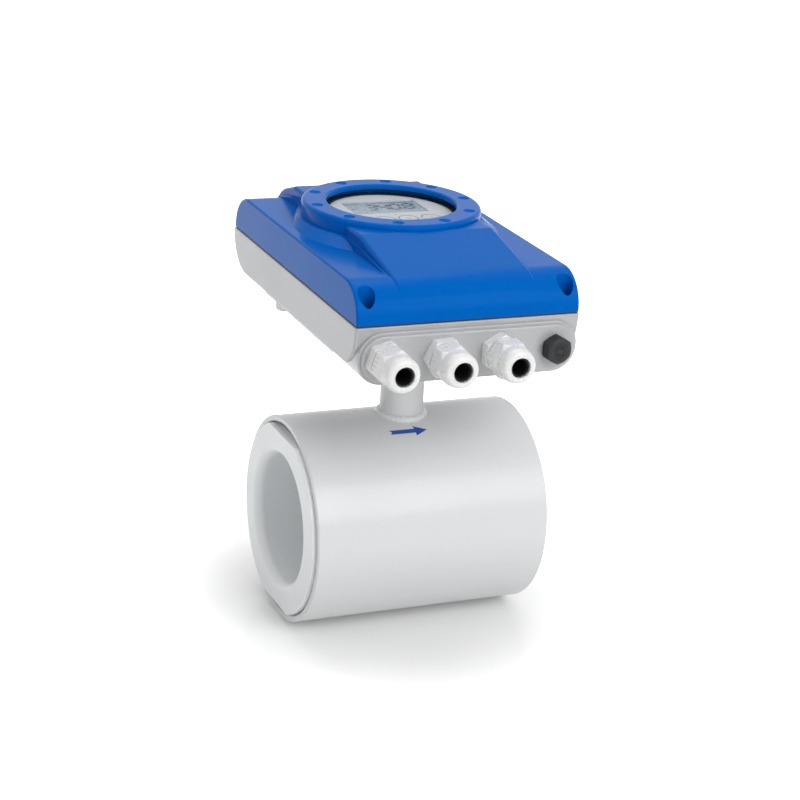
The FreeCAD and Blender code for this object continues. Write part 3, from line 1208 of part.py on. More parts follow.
def display():
    """Make the display unit, the bracket that it turns in and its ribbon."""
    face_bottom = "display_top - face_thickness"
    face = rod("face_disc", "display_radius", "face_thickness", (0, "ring_back", face_bottom))
    opening = block("face_opening", (
        "-screen_width / 2 + screen_border",
        "ring_back + screen_offset - screen_depth / 2 + screen_border",
        "display_floor"),
        ("screen_width - 2 * screen_border", "screen_depth - 2 * screen_border", "display_top"))
    keep(cut("face_cut", face, opening), "display_face")
    keep(block("screen", ("-screen_width / 2", "ring_back + screen_offset - screen_depth / 2",
                          f"{face_bottom} - screen_thickness"),
               ("screen_width", "screen_depth", "screen_thickness")), "screen_panel")
    board_bottom = f"{face_bottom} - screen_thickness - board_thickness"
    keep(rod("display_disc", "display_radius - cup_wall - seat_gap", "board_thickness",
             (0, "ring_back", board_bottom)), "display_board")
    cup = turned("cup", [
        ("0", "display_floor"),
        ("display_radius", "display_floor", "1.5"),
        ("display_radius", "cup_lip_height"),
        ("cup_lip_radius", "cup_lip_height"),
        ("cup_lip_radius", "cup_lip_height + cup_wall"),
        ("display_radius", "cup_lip_height + cup_wall"),
        ("display_radius", face_bottom),
        ("display_radius - cup_wall", face_bottom),
        ("display_radius - cup_wall", board_bottom),
        ("display_radius - 2 * cup_wall", board_bottom),
        ("display_radius - 2 * cup_wall", "display_floor + cup_wall"),
        ("0", "display_floor + cup_wall"),
    ], (0, "ring_back", 0))
    keep(cup, "display_cup")

    bracket_ring = turned("bracket_ring", [
        ("display_radius + seat_gap", "cup_lip_height - bracket_thickness"),
        ("bracket_radius", "cup_lip_height - bracket_thickness", "1"),
        ("bracket_radius", "cup_lip_height", "1"),
        ("display_radius + seat_gap", "cup_lip_height"),
    ], (0, "ring_back", 0))
    legs = []
    for number, (x, y) in enumerate(((-1, -1), (1, -1), (1, 1), (-1, 1)), 1):
        legs.append(block(f"bracket_leg_{number}", (
            f"{x} * bracket_leg_reach - bracket_leg / 2",
            f"ring_back + {y} * bracket_leg_reach - bracket_leg / 2", "board_top"),
            ("bracket_leg", "bracket_leg", "cup_lip_height - bracket_thickness / 2 - board_top")))
    clear = rod("bracket_clear", "display_radius + seat_gap", "cup_lip_height",
                (0, "ring_back", "board_top"))
    keep(cut("bracket", fuse("bracket_solid", bracket_ring, *legs), clear), "display_bracket")

    keep(block("header", ("-header_width / 2", "ring_back - header_depth / 2", "board_top"),
               ("header_width", "header_depth", "header_height")), "ribbon_header")
    low = "board_top + header_height"
    high = "display_floor - seat_gap"
    near = "ring_back - ribbon_thickness / 2"
    far = "ring_back + ribbon_thickness / 2"
    inner = "0.8"
    outer = "ribbon_thickness + 0.8"
    ribbon = extruded("ribbon", "YZ_Plane", [
        (near, low),
        (far, low),
        (far, f"{low} + ribbon_low_run", inner),
        (f"{far} + ribbon_slack", f"{low} + ribbon_low_run", outer),
        (f"{far} + ribbon_slack", f"{high} - ribbon_high_run", outer),
        (far, f"{high} - ribbon_high_run", inner),
        (far, high),
        (near, high),
        (near, f"{high} - ribbon_high_run - ribbon_thickness", outer),
        (f"{near} + ribbon_slack", f"{high} - ribbon_high_run - ribbon_thickness", inner),
        (f"{near} + ribbon_slack", f"{low} + ribbon_low_run + ribbon_thickness", inner),
        (near, f"{low} + ribbon_low_run + ribbon_thickness", outer),
    ], "ribbon_width", midplane=True)
    keep(ribbon, "display_ribbon")


def write_nodes():
    """Check every object and write each node's shape to its own file."""
    doc.recompute()
    faulty = [thing.Name for thing in doc.Objects if {"Invalid", "Error"} & set(thing.State)]
    if faulty:
        raise RuntimeError("objects that failed to build: " + ", ".join(faulty))
    for thing in nodes:
        if thing.Shape.isNull() or not thing.Shape.isValid() or not thing.Shape.Solids:
            raise RuntimeError("no sound solid in " + thing.Label)
    os.makedirs("parts", exist_ok=True)
    for thing in nodes:
        thing.Shape.exportStep(f"parts/{thing.Label}.step")
        box = thing.Shape.BoundBox
        print(f"{thing.Label:24s} {len(thing.Shape.Solids):2d} solids {thing.Shape.Volume / 1000:9.2f} "
              f"cm3  x {box.XMin:7.1f} {box.XMax:7.1f}  y {box.YMin:7.1f} {box.YMax:7.1f}  "
              f"z {box.ZMin:7.1f} {box.ZMax:7.1f}")
    print(len(nodes), "nodes")


sensor()
electrodes()
magnet()
neck()
sensor_leads()
base()
cover()
window()
glands()
electronics()
display()
write_nodes()
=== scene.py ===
"""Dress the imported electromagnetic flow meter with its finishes, prints and fine surfaces."""
import math

import bmesh
import bpy
import numpy as np
from bpy.props import (
    FloatProperty, FloatVectorProperty, IntProperty, PointerProperty, StringProperty)
from mathutils import Matrix, Vector


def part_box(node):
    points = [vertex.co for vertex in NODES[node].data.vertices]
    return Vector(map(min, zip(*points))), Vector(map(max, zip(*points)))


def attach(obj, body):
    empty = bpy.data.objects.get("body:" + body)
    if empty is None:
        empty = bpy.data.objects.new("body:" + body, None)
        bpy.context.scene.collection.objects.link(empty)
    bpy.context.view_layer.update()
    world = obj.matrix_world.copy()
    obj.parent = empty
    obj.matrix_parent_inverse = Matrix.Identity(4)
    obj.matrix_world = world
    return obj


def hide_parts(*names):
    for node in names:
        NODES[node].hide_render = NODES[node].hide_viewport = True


bl_info = {
    "name": "Electromagnetic flow meter",
    "version": (1, 0, 0),
    "blender": (4, 5, 0),
    "location": "View3D > Sidebar > Flow Meter",
    "description": "Finishes, prints and fine surfaces of an electromagnetic flow meter",
    "category": "Object",
}

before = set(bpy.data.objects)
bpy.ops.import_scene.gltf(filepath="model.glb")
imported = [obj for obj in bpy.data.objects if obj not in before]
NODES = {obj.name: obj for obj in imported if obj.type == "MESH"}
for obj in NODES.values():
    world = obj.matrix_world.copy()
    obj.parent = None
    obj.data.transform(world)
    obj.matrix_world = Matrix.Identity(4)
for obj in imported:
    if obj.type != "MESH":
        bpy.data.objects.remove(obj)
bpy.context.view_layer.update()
MM = 0.001


def low(node):
    """Give the lowest corner of a node in millimetres."""
    return np.array(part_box(node)[0]) / MM


def high(node):
    """Give the highest corner of a node in millimetres."""
    return np.array(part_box(node)[1]) / MM


TUBE_RADIUS = float(high("sensor_housing")[2])
FACE_TOP = float(high("display_face")[2])
SCREEN_HIGH = high("screen_panel")
WINDOW_CENTRE = float(low("window_glass")[1] + high("window_glass")[1]) / 2
BOSS_FACE = float(high("plug_seal")[1])
# The weld bead's middle lies this far below the tube's crown, and the neck's flange seal reaches
# this far past the neck.
WELD_DROP = 0.64
SEAL_REACH = 13.5


# Colours and node trees

def linear(text):
    """Turn an sRGB hex colour into linear red, green, blue and alpha."""
    channels = [int(text[place:place + 2], 16) / 255 for place in (1, 3, 5)]
    return [c / 12.92 if c <= 0.04045 else ((c + 0.055) / 1.055) ** 2.4 for c in channels] + [1.0]


def add_node(tree, kind, inputs=None, **settings):
    """Add a node, set its settings, and fill or link each named input."""
    node = tree.nodes.new(kind)
    for name, value in settings.items():
        setattr(node, name, value)
    for name, value in (inputs or {}).items():
        socket = node.inputs[name]
        if isinstance(value, bpy.types.NodeSocket):
            tree.links.new(value, socket)
        else:
            socket.default_value = value
    return node


def new_material(name, **sockets):
    """Start a material with a shader whose constant sockets are set, and give its tree."""
    material = bpy.data.materials.new(name)
    material.use_nodes = True
    tree = material.node_tree
    tree.nodes.clear()
    shader = add_node(tree, "ShaderNodeBsdfPrincipled")
    for socket, value in sockets.items():
        shader.inputs[socket.replace("_", " ")].default_value = value
    output = add_node(tree, "ShaderNodeOutputMaterial")
    tree.links.new(shader.outputs["BSDF"], output.inputs["Surface"])
    return tree, shader


def object_noise(tree, size_mm, detail=2.0, stretch=(1, 1, 1)):
    """Give noise whose features measure a size in millimetres, stretched along the axes."""
    place = add_node(tree, "ShaderNodeTexCoord")
    mapping = add_node(tree, "ShaderNodeMapping", {
        "Vector": place.outputs["Object"], "Scale": stretch})
    noise = add_node(tree, "ShaderNodeTexNoise", {
        "Vector": mapping.outputs["Vector"], "Scale": 1 / (size_mm * MM), "Detail": detail,
        "Roughness": 0.55})
    return noise.outputs["Fac"]


def spread(tree, noise, least, most):
    """Map noise, which mostly lies between 0.35 and 0.65, to a range."""
    mapped = add_node(tree, "ShaderNodeMapRange", {
        "Value": noise, "From Min": 0.35, "From Max": 0.65, "To Min": least, "To Max": most})
    return mapped.outputs["Result"]


def blend_colours(tree, factor, first, second):
    """Mix two sRGB hex colours by a factor."""
    mix = add_node(tree, "ShaderNodeMix", {"Factor": factor}, data_type="RGBA")
    mix.inputs["A"].default_value = linear(first)
    mix.inputs["B"].default_value = linear(second)
    return mix.outputs["Result"]


# Size in millimetres of the slow cloud in a finish's gloss.
CLOUD_SIZE = 40


def grained(name, dark, light, roughness, grain_mm, bump_mm, stretch=(1, 1, 1), **sockets):
    """Make a material with a grain in colour, gloss and height, and a slow cloud in its gloss."""
    tree, shader = new_material(name, **sockets)
    grain = object_noise(tree, grain_mm, 3, stretch)
    cloud = object_noise(tree, CLOUD_SIZE, 1)
    tone = blend_colours(tree, spread(tree, grain, 0, 1), dark, light)
    tree.links.new(tone, shader.inputs["Base Color"])
    gloss = add_node(tree, "ShaderNodeMath", {
        0: spread(tree, grain, -0.03, 0.03),
        1: spread(tree, cloud, roughness - 0.03, roughness + 0.03)}, operation="ADD")
    tree.links.new(gloss.outputs["Value"], shader.inputs["Roughness"])
    bump = add_node(tree, "ShaderNodeBump", {
        "Height": grain, "Strength": 0.6, "Distance": bump_mm * MM})
    tree.links.new(bump.outputs["Normal"], shader.inputs["Normal"])


def make_finishes():
    """Make every finish of the flow meter.

    Real grains of 0.1 to 0.3 mm are drawn at 0.6 to 2.4 mm, so that they show at this distance.
    """
    # Light grey powder coat, baked on over the welded steel housing: satin and even.
    grained(
        "light_grey_powder_coat", "#d7d9da", "#dddedf", 0.42, 0.9, 0.006,
        Coat_Weight=0.22, Coat_Roughness=0.16)
    # Silver-grey powder coat, baked on over the die-cast base: set a shade darker than the welded
    # housing as painted shade for the dimmer light on the converter, with the same grain and a
    # little more gloss.
    grained(
        "grey_powder_coat_painted_shade", "#acaeb0", "#b2b4b6", 0.36, 0.9, 0.006,
        Coat_Weight=0.3, Coat_Roughness=0.12)
    # Mid-blue two-part coat, sprayed on the die-cast cover: deep even colour, a faint orange peel
    # with waves of about 3 mm, and a sheen that the pigment near the surface tints.
    grained(
        "blue_two_part_coat", "#0060ba", "#0263be", 0.2, 3.0, 0.0003,
        Specular_IOR_Level=0.06, Specular_Tint=linear("#6cb6ff"))
    # Fluoropolymer, moulded in and turned flat at its ends: waxy white that lets a little light in.
    grained(
        "turned_fluoropolymer", "#edf0f2", "#eff2f3", 0.36, 4.0, 0.0005,
        Subsurface_Weight=0.08, Subsurface_Scale=0.004)
    # White polyamide, injection-moulded in a polished tool: near-white with an even, soft gloss.
    grained(
        "moulded_white_polyamide", "#e6e6e5", "#ebebea", 0.3, 2.4, 0.001,
        Subsurface_Weight=0.02, Subsurface_Scale=0.001, IOR=1.53)
    # Black polyamide, moulded with glass fibre: dull grey-black with a visible speckle of fibre.
    grained("glass_filled_polyamide", "#0e0f10", "#2a2c2f", 0.55, 0.8, 0.03, IOR=1.4)
    # Rubber, vulcanised in a blasted mould: deep black and dull.
    grained("vulcanised_rubber", "#0b0b0c", "#131314", 0.6, 1.2, 0.01, IOR=1.5)
    # Stainless steel, turned: bright, with fine marks closer together along X than across it.
    grained(
        "turned_stainless_steel", "#9b9c9d", "#b5b6b7", 0.28, 0.8, 0.01,
        stretch=(3, 1, 1), Metallic=1.0)
    # Zinc-plated steel screws, down in their wells: dull, and dark from the shade.
    grained("zinc_plated_screw", "#6f7274", "#86898b", 0.34, 0.6, 0.01, Metallic=0.9)
    # Soft magnetic sheet, phosphated: dark and dull.
    grained("phosphated_magnet_sheet", "#3b3d40", "#4c4f52", 0.5, 1.5, 0.02, Metallic=0.8)
    # Copper wire, enamelled and wound in close turns of 0.8 mm: red-brown rings, half glossy.
    winding_finish()
    # Black lacquer, dipped over sheet, cans and cores: even and half glossy.
    grained("black_lacquer", "#101113", "#1a1b1d", 0.35, 1.8, 0.008)
    # Tinned steel sheet, rolled and bent to a shield: bright, with slow clouds in the tin.
    grained("tinned_sheet", "#a9acae", "#bfc1c3", 0.3, 6.0, 0.01, Metallic=0.95)
    # Dark grey plastic, moulded in an etched tool, of the display's cup and bracket: matt.
    grained("moulded_grey_plastic", "#4a4d50", "#54575a", 0.5, 1.2, 0.01)
    # Green plastic, moulded, of the terminal blocks: even colour with a soft gloss.
    grained("moulded_green_plastic", "#1e6b3a", "#257a44", 0.42, 1.2, 0.01)
    # Extruded jackets of the leads: smooth and a little waxy.
    grained("red_lead_jacket", "#8e1c18", "#a3231e", 0.4, 2.0, 0.01)
    grained("grey_lead_jacket", "#6c7074", "#7d8185", 0.4, 2.0, 0.01)
    # Solder mask, cured over etched copper tracks: glossy green, lighter along the tracks, whose
    # steps of 2.5 mm are coarser than real ones.
    board_finish()
    # Polyester foil, printed from behind, over the display: light grey with a fine matt grain.
    grained("printed_polyester_foil", "#dfe6eb", "#e5ebef", 0.45, 0.7, 0.003)
    # Liquid crystal, sealed between two glasses over a reflector: smooth and blue-grey, darker
    # towards its rear edge as painted shade of the frame.
    crystal_with_painted_shade_finish()
    # A liquid crystal segment that is switched on, and the painted shadow line of the frame: slate
    # blue on the panel's blue-grey.
    grained("crystal_segment_and_painted_shadow", "#3a5066", "#41586e", 0.3, 0.8, 0.002)
    # Ink, screen-printed on the foil: slate grey.
    grained("screen_printed_ink", "#5f7488", "#677c90", 0.4, 0.8, 0.002)
    # Ink, pad-printed on the housing's coat: dark blue, following the coat's grain.
    grained("blue_pad_print", "#0d4aa0", "#114fa8", 0.38, 0.9, 0.004)
    # Weld, left as it was laid and coated over: glossier and brighter than the coat beside it.
    grained(
        "coated_weld_bead", "#dcdedf", "#eceded", 0.2, 1.6, 0.02,
        Coat_Weight=0.4, Coat_Roughness=0.08)
    # Float glass, 3 mm thick and wiped by hand: clear and slightly dark, with faint wipe marks.
    glass_finish()


def winding_finish():
    """Make the winding, whose turns show as rings round the coil's axis."""
    tree, shader = new_material("enamelled_copper_winding", Metallic=0.7, Roughness=0.3)
    wire = 0.8 * MM
    place = add_node(tree, "ShaderNodeTexCoord")
    rings = add_node(tree, "ShaderNodeTexWave", {
        "Vector": place.outputs["Object"], "Scale": 1 / (math.pi * wire), "Distortion": 0.4},
        wave_type="RINGS", rings_direction="Z")
    tone = blend_colours(tree, rings.outputs["Fac"], "#5e2a12", "#a4552c")
    tree.links.new(tone, shader.inputs["Base Color"])
    bump = add_node(tree, "ShaderNodeBump", {
        "Height": rings.outputs["Fac"], "Strength": 0.5, "Distance": 0.2 * MM})
    tree.links.new(bump.outputs["Normal"], shader.inputs["Normal"])


def board_finish():
    """Make the solder mask with its tracks laid out like bricks."""
    tree, shader = new_material("green_solder_mask", IOR=1.5)
    place = add_node(tree, "ShaderNodeTexCoord")
    tracks = add_node(tree, "ShaderNodeTexBrick", {
        "Vector": place.outputs["Object"], "Scale": 1 / (10 * MM), "Mortar Size": 0.012,
        "Brick Width": 0.5, "Row Height": 0.25})
    for name, colour in (("Color1", "#0f5a2c"), ("Color2", "#135f31"), ("Mortar", "#2b8a4e")):
        tracks.inputs[name].default_value = linear(colour)
    tree.links.new(tracks.outputs["Color"], shader.inputs["Base Color"])
    gloss = spread(tree, object_noise(tree, 12), 0.28, 0.4)
    tree.links.new(gloss, shader.inputs["Roughness"])


def crystal_with_painted_shade_finish():
    """Make the liquid crystal, darker over its last 8 mm to the rear edge as painted shade."""
    tree, shader = new_material("liquid_crystal", IOR=1.5)
    place = add_node(tree, "ShaderNodeTexCoord")
    split = add_node(tree, "ShaderNodeSeparateXYZ", {"Vector": place.outputs["Object"]})
    rear = float(SCREEN_HIGH[1]) * MM
    depth = add_node(tree, "ShaderNodeMapRange", {
        "Value": split.outputs["Y"], "From Min": rear - 8 * MM, "From Max": rear,
        "To Min": 0.0, "To Max": 1.0})
    # The blue-grey darkens towards the rear edge: painted shade of the display's frame.
    tone = blend_colours(tree, depth.outputs["Result"], "#adc0cc", "#90a6b5")
    tree.links.new(tone, shader.inputs["Base Color"])
    gloss = spread(tree, object_noise(tree, 3), 0.22, 0.3)
    tree.links.new(gloss, shader.inputs["Roughness"])


def glass_finish():
    """Make the glass with its wipe marks, which are four times longer along X than along Y."""
    tree, shader = new_material("float_glass", Alpha=0.08, IOR=1.5)
    cloud = spread(tree, object_noise(tree, 30), 0, 1)
    tone = blend_colours(tree, cloud, "#243034", "#2a373b")
    tree.links.new(tone, shader.inputs["Base Color"])
    gloss = spread(tree, object_noise(tree, 18, 3, (1, 4, 1)), 0.02, 0.06)
    tree.links.new(gloss, shader.inputs["Roughness"])


# Surfaces worked out on grids

def mesh_piece(name, points, faces, finish, body, crease=30):
    """Make one piece from points in millimetres and its faces, and let it ride on a body.

    Points that coincide are merged, faces are turned outwards, and edges that turn by more than
    the crease angle in degrees stay sharp.
    """
    mesh = bpy.data.meshes.new(name)
    metres = np.asarray(points, dtype=float) * MM
    mesh.from_pydata(metres.tolist(), [], [list(face) for face in faces])
    grid = bmesh.new()
    grid.from_mesh(mesh)
    bmesh.ops.remove_doubles(grid, verts=grid.verts, dist=1e-7)
    bmesh.ops.recalc_face_normals(grid, faces=grid.faces)
    grid.to_mesh(mesh)
    grid.free()
    mesh.shade_smooth()
    mesh.set_sharp_from_angle(angle=math.radians(crease))
    mesh.materials.append(bpy.data.materials[finish])
    piece = bpy.data.objects.new(name, mesh)
    bpy.context.scene.collection.objects.link(piece)
    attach(piece, body)
    return piece


def grid_faces(rows, columns, closed=False):
    """Give the quads of a grid of points, closed round both ways if asked."""
    i = np.arange(rows if closed else rows - 1)[:, None]
    j = np.arange(columns if closed else columns - 1)[None, :]
    i2, j2 = (i + 1) % rows, (j + 1) % columns
    corners = (i * columns + j, i * columns + j2, i2 * columns + j2, i2 * columns + j)
    return np.stack(corners, axis=-1).reshape(-1, 4)


def plate(outline, thickness):
    """Give the points and faces of a flat plate: an outline of (x, y) carried up by a thickness."""
    outline = np.asarray(outline, dtype=float)
    count = len(outline)
    lower = np.column_stack([outline, np.zeros(count)])
    upper = np.column_stack([outline, np.full(count, thickness)])
    index = np.arange(count)
    sides = [[a, (a + 1) % count, (a + 1) % count + count, a + count] for a in index]
    return np.vstack([lower, upper]), sides + [index[::-1].tolist(), (index + count).tolist()]


def full_turn(count):
    """Give evenly spaced angles round a full turn."""
    return np.linspace(0, 2 * math.pi, count, endpoint=False)


def ring_band(radius, width, thickness, centre, height, segments=96):
    """Give a flat ring: a small rectangle of width by thickness carried round a circle."""
    angle = full_turn(segments)[:, None]
    across = np.array([-width / 2, width / 2, width / 2, -width / 2])[None, :]
    up = np.array([0, 0, thickness, thickness])[None, :]
    points = np.stack([
        centre[0] + (radius + across) * np.cos(angle),
        centre[1] + (radius + across) * np.sin(angle),
        height + up + 0 * angle], axis=-1)
    return points.reshape(-1, 3), grid_faces(segments, 4, closed=True)


def merge(parts):
    """Join several lists of points and faces into one."""
    points, faces, count = [], [], 0
    for some_points, some_faces in parts:
        points.append(np.asarray(some_points))
        faces.extend([[int(index) + count for index in face] for face in some_faces])
        count += len(some_points)
    return np.vstack(points), faces


# Longest step along a gland's or the plug's profile, and the points at each rounded corner.
PROFILE_STEP, CORNER_POINTS = 0.4, 5


def soft_profile(corners):
    """Give a closed profile of (station, radius) whose corners are rounded.

    Each corner (station, radius, reach) becomes the parabola that touches both its sides at that
    reach from it, and straight runs are divided so that no step is longer than PROFILE_STEP.
    """
    corners = np.asarray(corners, dtype=float)
    spot, reach = corners[:, :2], corners[:, 2:]
    before = np.roll(spot, 1, axis=0) - spot
    after = np.roll(spot, -1, axis=0) - spot
    start = spot + reach * before / np.linalg.norm(before, axis=1, keepdims=True)
    end = spot + reach * after / np.linalg.norm(after, axis=1, keepdims=True)
    t = np.linspace(0, 1, CORNER_POINTS)[None, :, None]
    curve = (1 - t) ** 2 * start[:, None] + 2 * t * (1 - t) * spot[:, None] + t ** 2 * end[:, None]
    curve = curve.reshape(-1, 2)
    closed = np.vstack([curve, curve[:1]])
    length = np.concatenate([[0], np.cumsum(np.linalg.norm(np.diff(closed, axis=0), axis=1))])
    even = np.arange(0, length[-1], PROFILE_STEP)
    keep = np.unique(np.round(np.concatenate([length, even]), 4))[:-1]
    return np.column_stack([np.interp(keep, length, closed[:, axis]) for axis in (0, 1)])


def slab(upper, lower):
    """Close a thin print: the quads of two grids of points, one over the other, and the walls."""
    rows, columns = upper.shape[:2]
    count = rows * columns
    faces = grid_faces(rows, columns)
    index = np.arange(count).reshape(rows, columns)
    rim = np.concatenate([index[0], index[1:, -1], index[-1, -2::-1], index[-2:0:-1, 0]])
    after = np.roll(rim, -1)
    walls = np.stack([rim, after, after + count, rim + count], axis=-1)
    points = np.vstack([upper.reshape(-1, 3), lower.reshape(-1, 3)])
    return points, faces[:, ::-1].tolist() + (faces + count).tolist() + walls.tolist()


def entry_surface(profile, angle, shape, centre):
    """Carry a rounded profile round a cable entry's axis, which runs along -Y from the boss's face.

    The point at station s, radius r and angle a is (x + r cos a, boss face - s, z + r sin a), with
    s and r first passed through the shape function.
    """
    profile = soft_profile(profile)
    angle = angle[None, :]
    station, radius = shape(profile[:, :1] + 0 * angle, profile[:, 1:] + 0 * angle, angle)
    points = np.stack([centre[0] + radius * np.cos(angle), BOSS_FACE - station,
                       centre[1] + radius * np.sin(angle)], axis=-1)
    faces = grid_faces(len(profile), angle.size, closed=True)
    return points.reshape(-1, 3), faces


def smooth_step(value, start, end):
    """Rise from 0 to 1 between two values by the cubic 3t^2 - 2t^3."""
    t = np.clip((value - start) / (end - start), 0, 1)
    return t * t * (3 - 2 * t)


def flat_place(angle, turn):
    """Give each angle's offset from the middle of its hexagon side, in radians."""
    return np.mod(angle - math.radians(turn), math.pi / 3) - math.pi / 6


def within_hexagon(radius, angle, turn, apothem, edge=70):
    """Cut a radius by a hexagon: the smaller of the radius and the hexagon's own.

    The hexagon's is apothem / cos(offset from the side's middle). The two are blended where they
    meet by the power mean with the exponent edge.
    """
    side = apothem / np.cos(flat_place(angle, turn))
    lesser, greater = np.minimum(radius, side), np.maximum(radius, side)
    return lesser * (1 + (lesser / greater) ** edge) ** (-1 / edge)


def thread_depth(station, angle, pitch, depth, start, end):
    """Give the depth of a right-hand thread.

    It is the distance of station / pitch - turn to its nearest whole number, doubled and times the
    depth, fading in and out over one pitch at each end.
    """
    turns = station / pitch - angle / (2 * math.pi)
    wave = 2 * np.abs(turns - np.round(turns)) * depth
    fade_in = smooth_step(station, start, start + pitch)
    return wave * fade_in * (1 - smooth_step(station, end - pitch, end))


def sector_angles(across):
    """Turn places across one hexagon side, in millimetres, to angles on all six sides."""
    offset = np.arctan(np.asarray(across) / BODY_APOTHEM)
    return (offset[None, :] + (np.arange(6) * math.pi / 3 + math.pi / 6)[:, None]).reshape(-1)


# Sizes that a user may change

def in_metres(name, description, default):
    """Give a property that holds a length in metres."""
    return FloatProperty(name=name, description=description, default=default, unit="LENGTH")


def in_degrees(name, description, degrees):
    """Give a property that holds an angle, from its default in degrees."""
    return FloatProperty(
        name=name, description=description, default=math.radians(degrees), subtype="ANGLE")


class PrintSizes(bpy.types.PropertyGroup):
    """Sizes of the printed arrow."""
    arrow_length: in_metres("Length", "Length of the flow arrow", 0.030)
    arrow_shaft: in_metres("Shaft", "Width of the arrow's shaft", 0.0042)
    arrow_head: in_metres("Head", "Width of the arrow's head", 0.0105)
    arrow_angle: in_degrees("Angle", "Turn of the arrow from the top towards the front", 20.8)


class GlandSizes(bpy.types.PropertyGroup):
    """Sizes of the cable glands' visible detail."""
    grip_depth: in_metres("Grip depth", "Depth of the grooves on the nut's flats", 0.0004)
    thread_pitch: in_metres("Pitch", "Pitch of the threads", 0.0015)
    thread_depth: in_metres("Thread depth", "Depth of the threads", 0.0009)
    scallops: IntProperty(
        name="Scallops", description="Number of fingers that press on the insert",
        default=13, min=3)


class WeldSizes(bpy.types.PropertyGroup):
    """Sizes of the weld bead at the foot of the neck."""
    bead_height: in_metres("Bead", "Radius of the bead", 0.00335)
    ripple_length: in_metres("Ripple", "Length of one ripple", 0.0030)
    ripple_depth: in_metres("Ripple depth", "Depth of a ripple", 0.0003)


class DisplaySizes(bpy.types.PropertyGroup):
    """Sizes of what the display shows."""
    reading: StringProperty(
        name="Reading", description="Digits that the display shows", default="340.8")
    digit_height: in_metres("Digit height", "Height of a digit", 0.0142)
    digit_slant: in_degrees("Slant", "Lean of the digits", 9)
    key_radius: in_metres("Key radius", "Radius of a printed key outline", 0.0073)
    key_spacing: in_metres("Key spacing", "Spacing of the printed keys", 0.0182)
    key_count: IntProperty(name="Keys", description="Number of keys", default=4, min=1)


class StageLook(bpy.types.PropertyGroup):
    """Look of the floor and lamps."""
    floor_colour: FloatVectorProperty(
        name="Floor", description="Colour of the floor", subtype="COLOR",
        default=(0.9, 0.9, 0.9), min=0, max=1)
    key_power: FloatProperty(
        name="Key lamp", description="Power of the key lamp", default=27, unit="POWER")


# Operators

FINISHES = {
    "light_grey_powder_coat": ["sensor_housing", "neck_tube", "neck_flange"],
    "grey_powder_coat_painted_shade": ["converter_base"],
    "blue_two_part_coat": ["cover"],
    "turned_fluoropolymer": ["liner", "electrode_bush_front", "electrode_bush_back"],
    "moulded_white_polyamide": [
        "gland_body_1", "gland_body_2", "gland_body_3", "gland_nut_1", "gland_nut_2", "gland_nut_3",
        "vent_plug"],
    "glass_filled_polyamide": ["blind_plug", "sensor_connector", "ribbon_header"],
    "vulcanised_rubber": [
        "neck_seal", "seam_seal", "window_seal", "gland_seals", "plug_seal", "gland_insert_1",
        "gland_insert_2", "gland_insert_3"],
    "turned_stainless_steel": [
        "measuring_tube", "end_ring_inlet", "end_ring_outlet", "electrode_front", "electrode_back",
        "electrode_washers", "electrode_nuts", "neck_screws", "window_clamp_screws", "board_screws",
        "terminal_screws"],
    "zinc_plated_screw": ["cover_screws"],
    "phosphated_magnet_sheet": ["pole_core_upper", "pole_core_lower", "yoke_band"],
    "enamelled_copper_winding": ["coil_upper", "coil_lower"],
    "red_lead_jacket": ["coil_leads"],
    "grey_lead_jacket": ["electrode_leads", "display_ribbon"],
    "black_lacquer": ["window_clamp_ring", "transformer", "capacitors"],
    "tinned_sheet": ["processor_shield"],
    "moulded_grey_plastic": ["terminal_partition", "display_cup", "display_bracket"],
    "moulded_green_plastic": ["terminal_block_power", "terminal_block_signal"],
    "green_solder_mask": ["main_board", "display_board"],
    "printed_polyester_foil": ["display_face"],
    "liquid_crystal": ["screen_panel"],
    "float_glass": ["window_glass"],
}


class FLOWMETER_OT_finish_nodes(bpy.types.Operator):
    """Give every solid of the meter its finish"""
    bl_idname = "flowmeter.finish_nodes"
    bl_label = "Finish the solids"

    def execute(self, context):
        make_finishes()
        for name, nodes in FINISHES.items():
            for node in nodes:
                slots = NODES[node].data.materials
                slots.clear()
                slots.append(bpy.data.materials[name])
        missing = set(NODES) - {node for nodes in FINISHES.values() for node in nodes}
        if missing:
            raise RuntimeError("nodes without a finish: " + ", ".join(sorted(missing)))
        return {"FINISHED"}


# The printed arrow, in millimetres: where its tail starts along the tube, the share of its length
# that is shaft, the depth of the notch in its tail, how fast its barbs sweep back and from which
# share of its half width, the half width of its tip, and how far the print reaches below and above
# the coat.
ARROW_START = -20.2
ARROW_NECK = 0.68
ARROW_NOTCH = 2.0
ARROW_BARB, BARB_START = 0.8, 0.4
ARROW_TIP = 0.02
ARROW_BELOW, ARROW_ABOVE = 0.3, 0.06


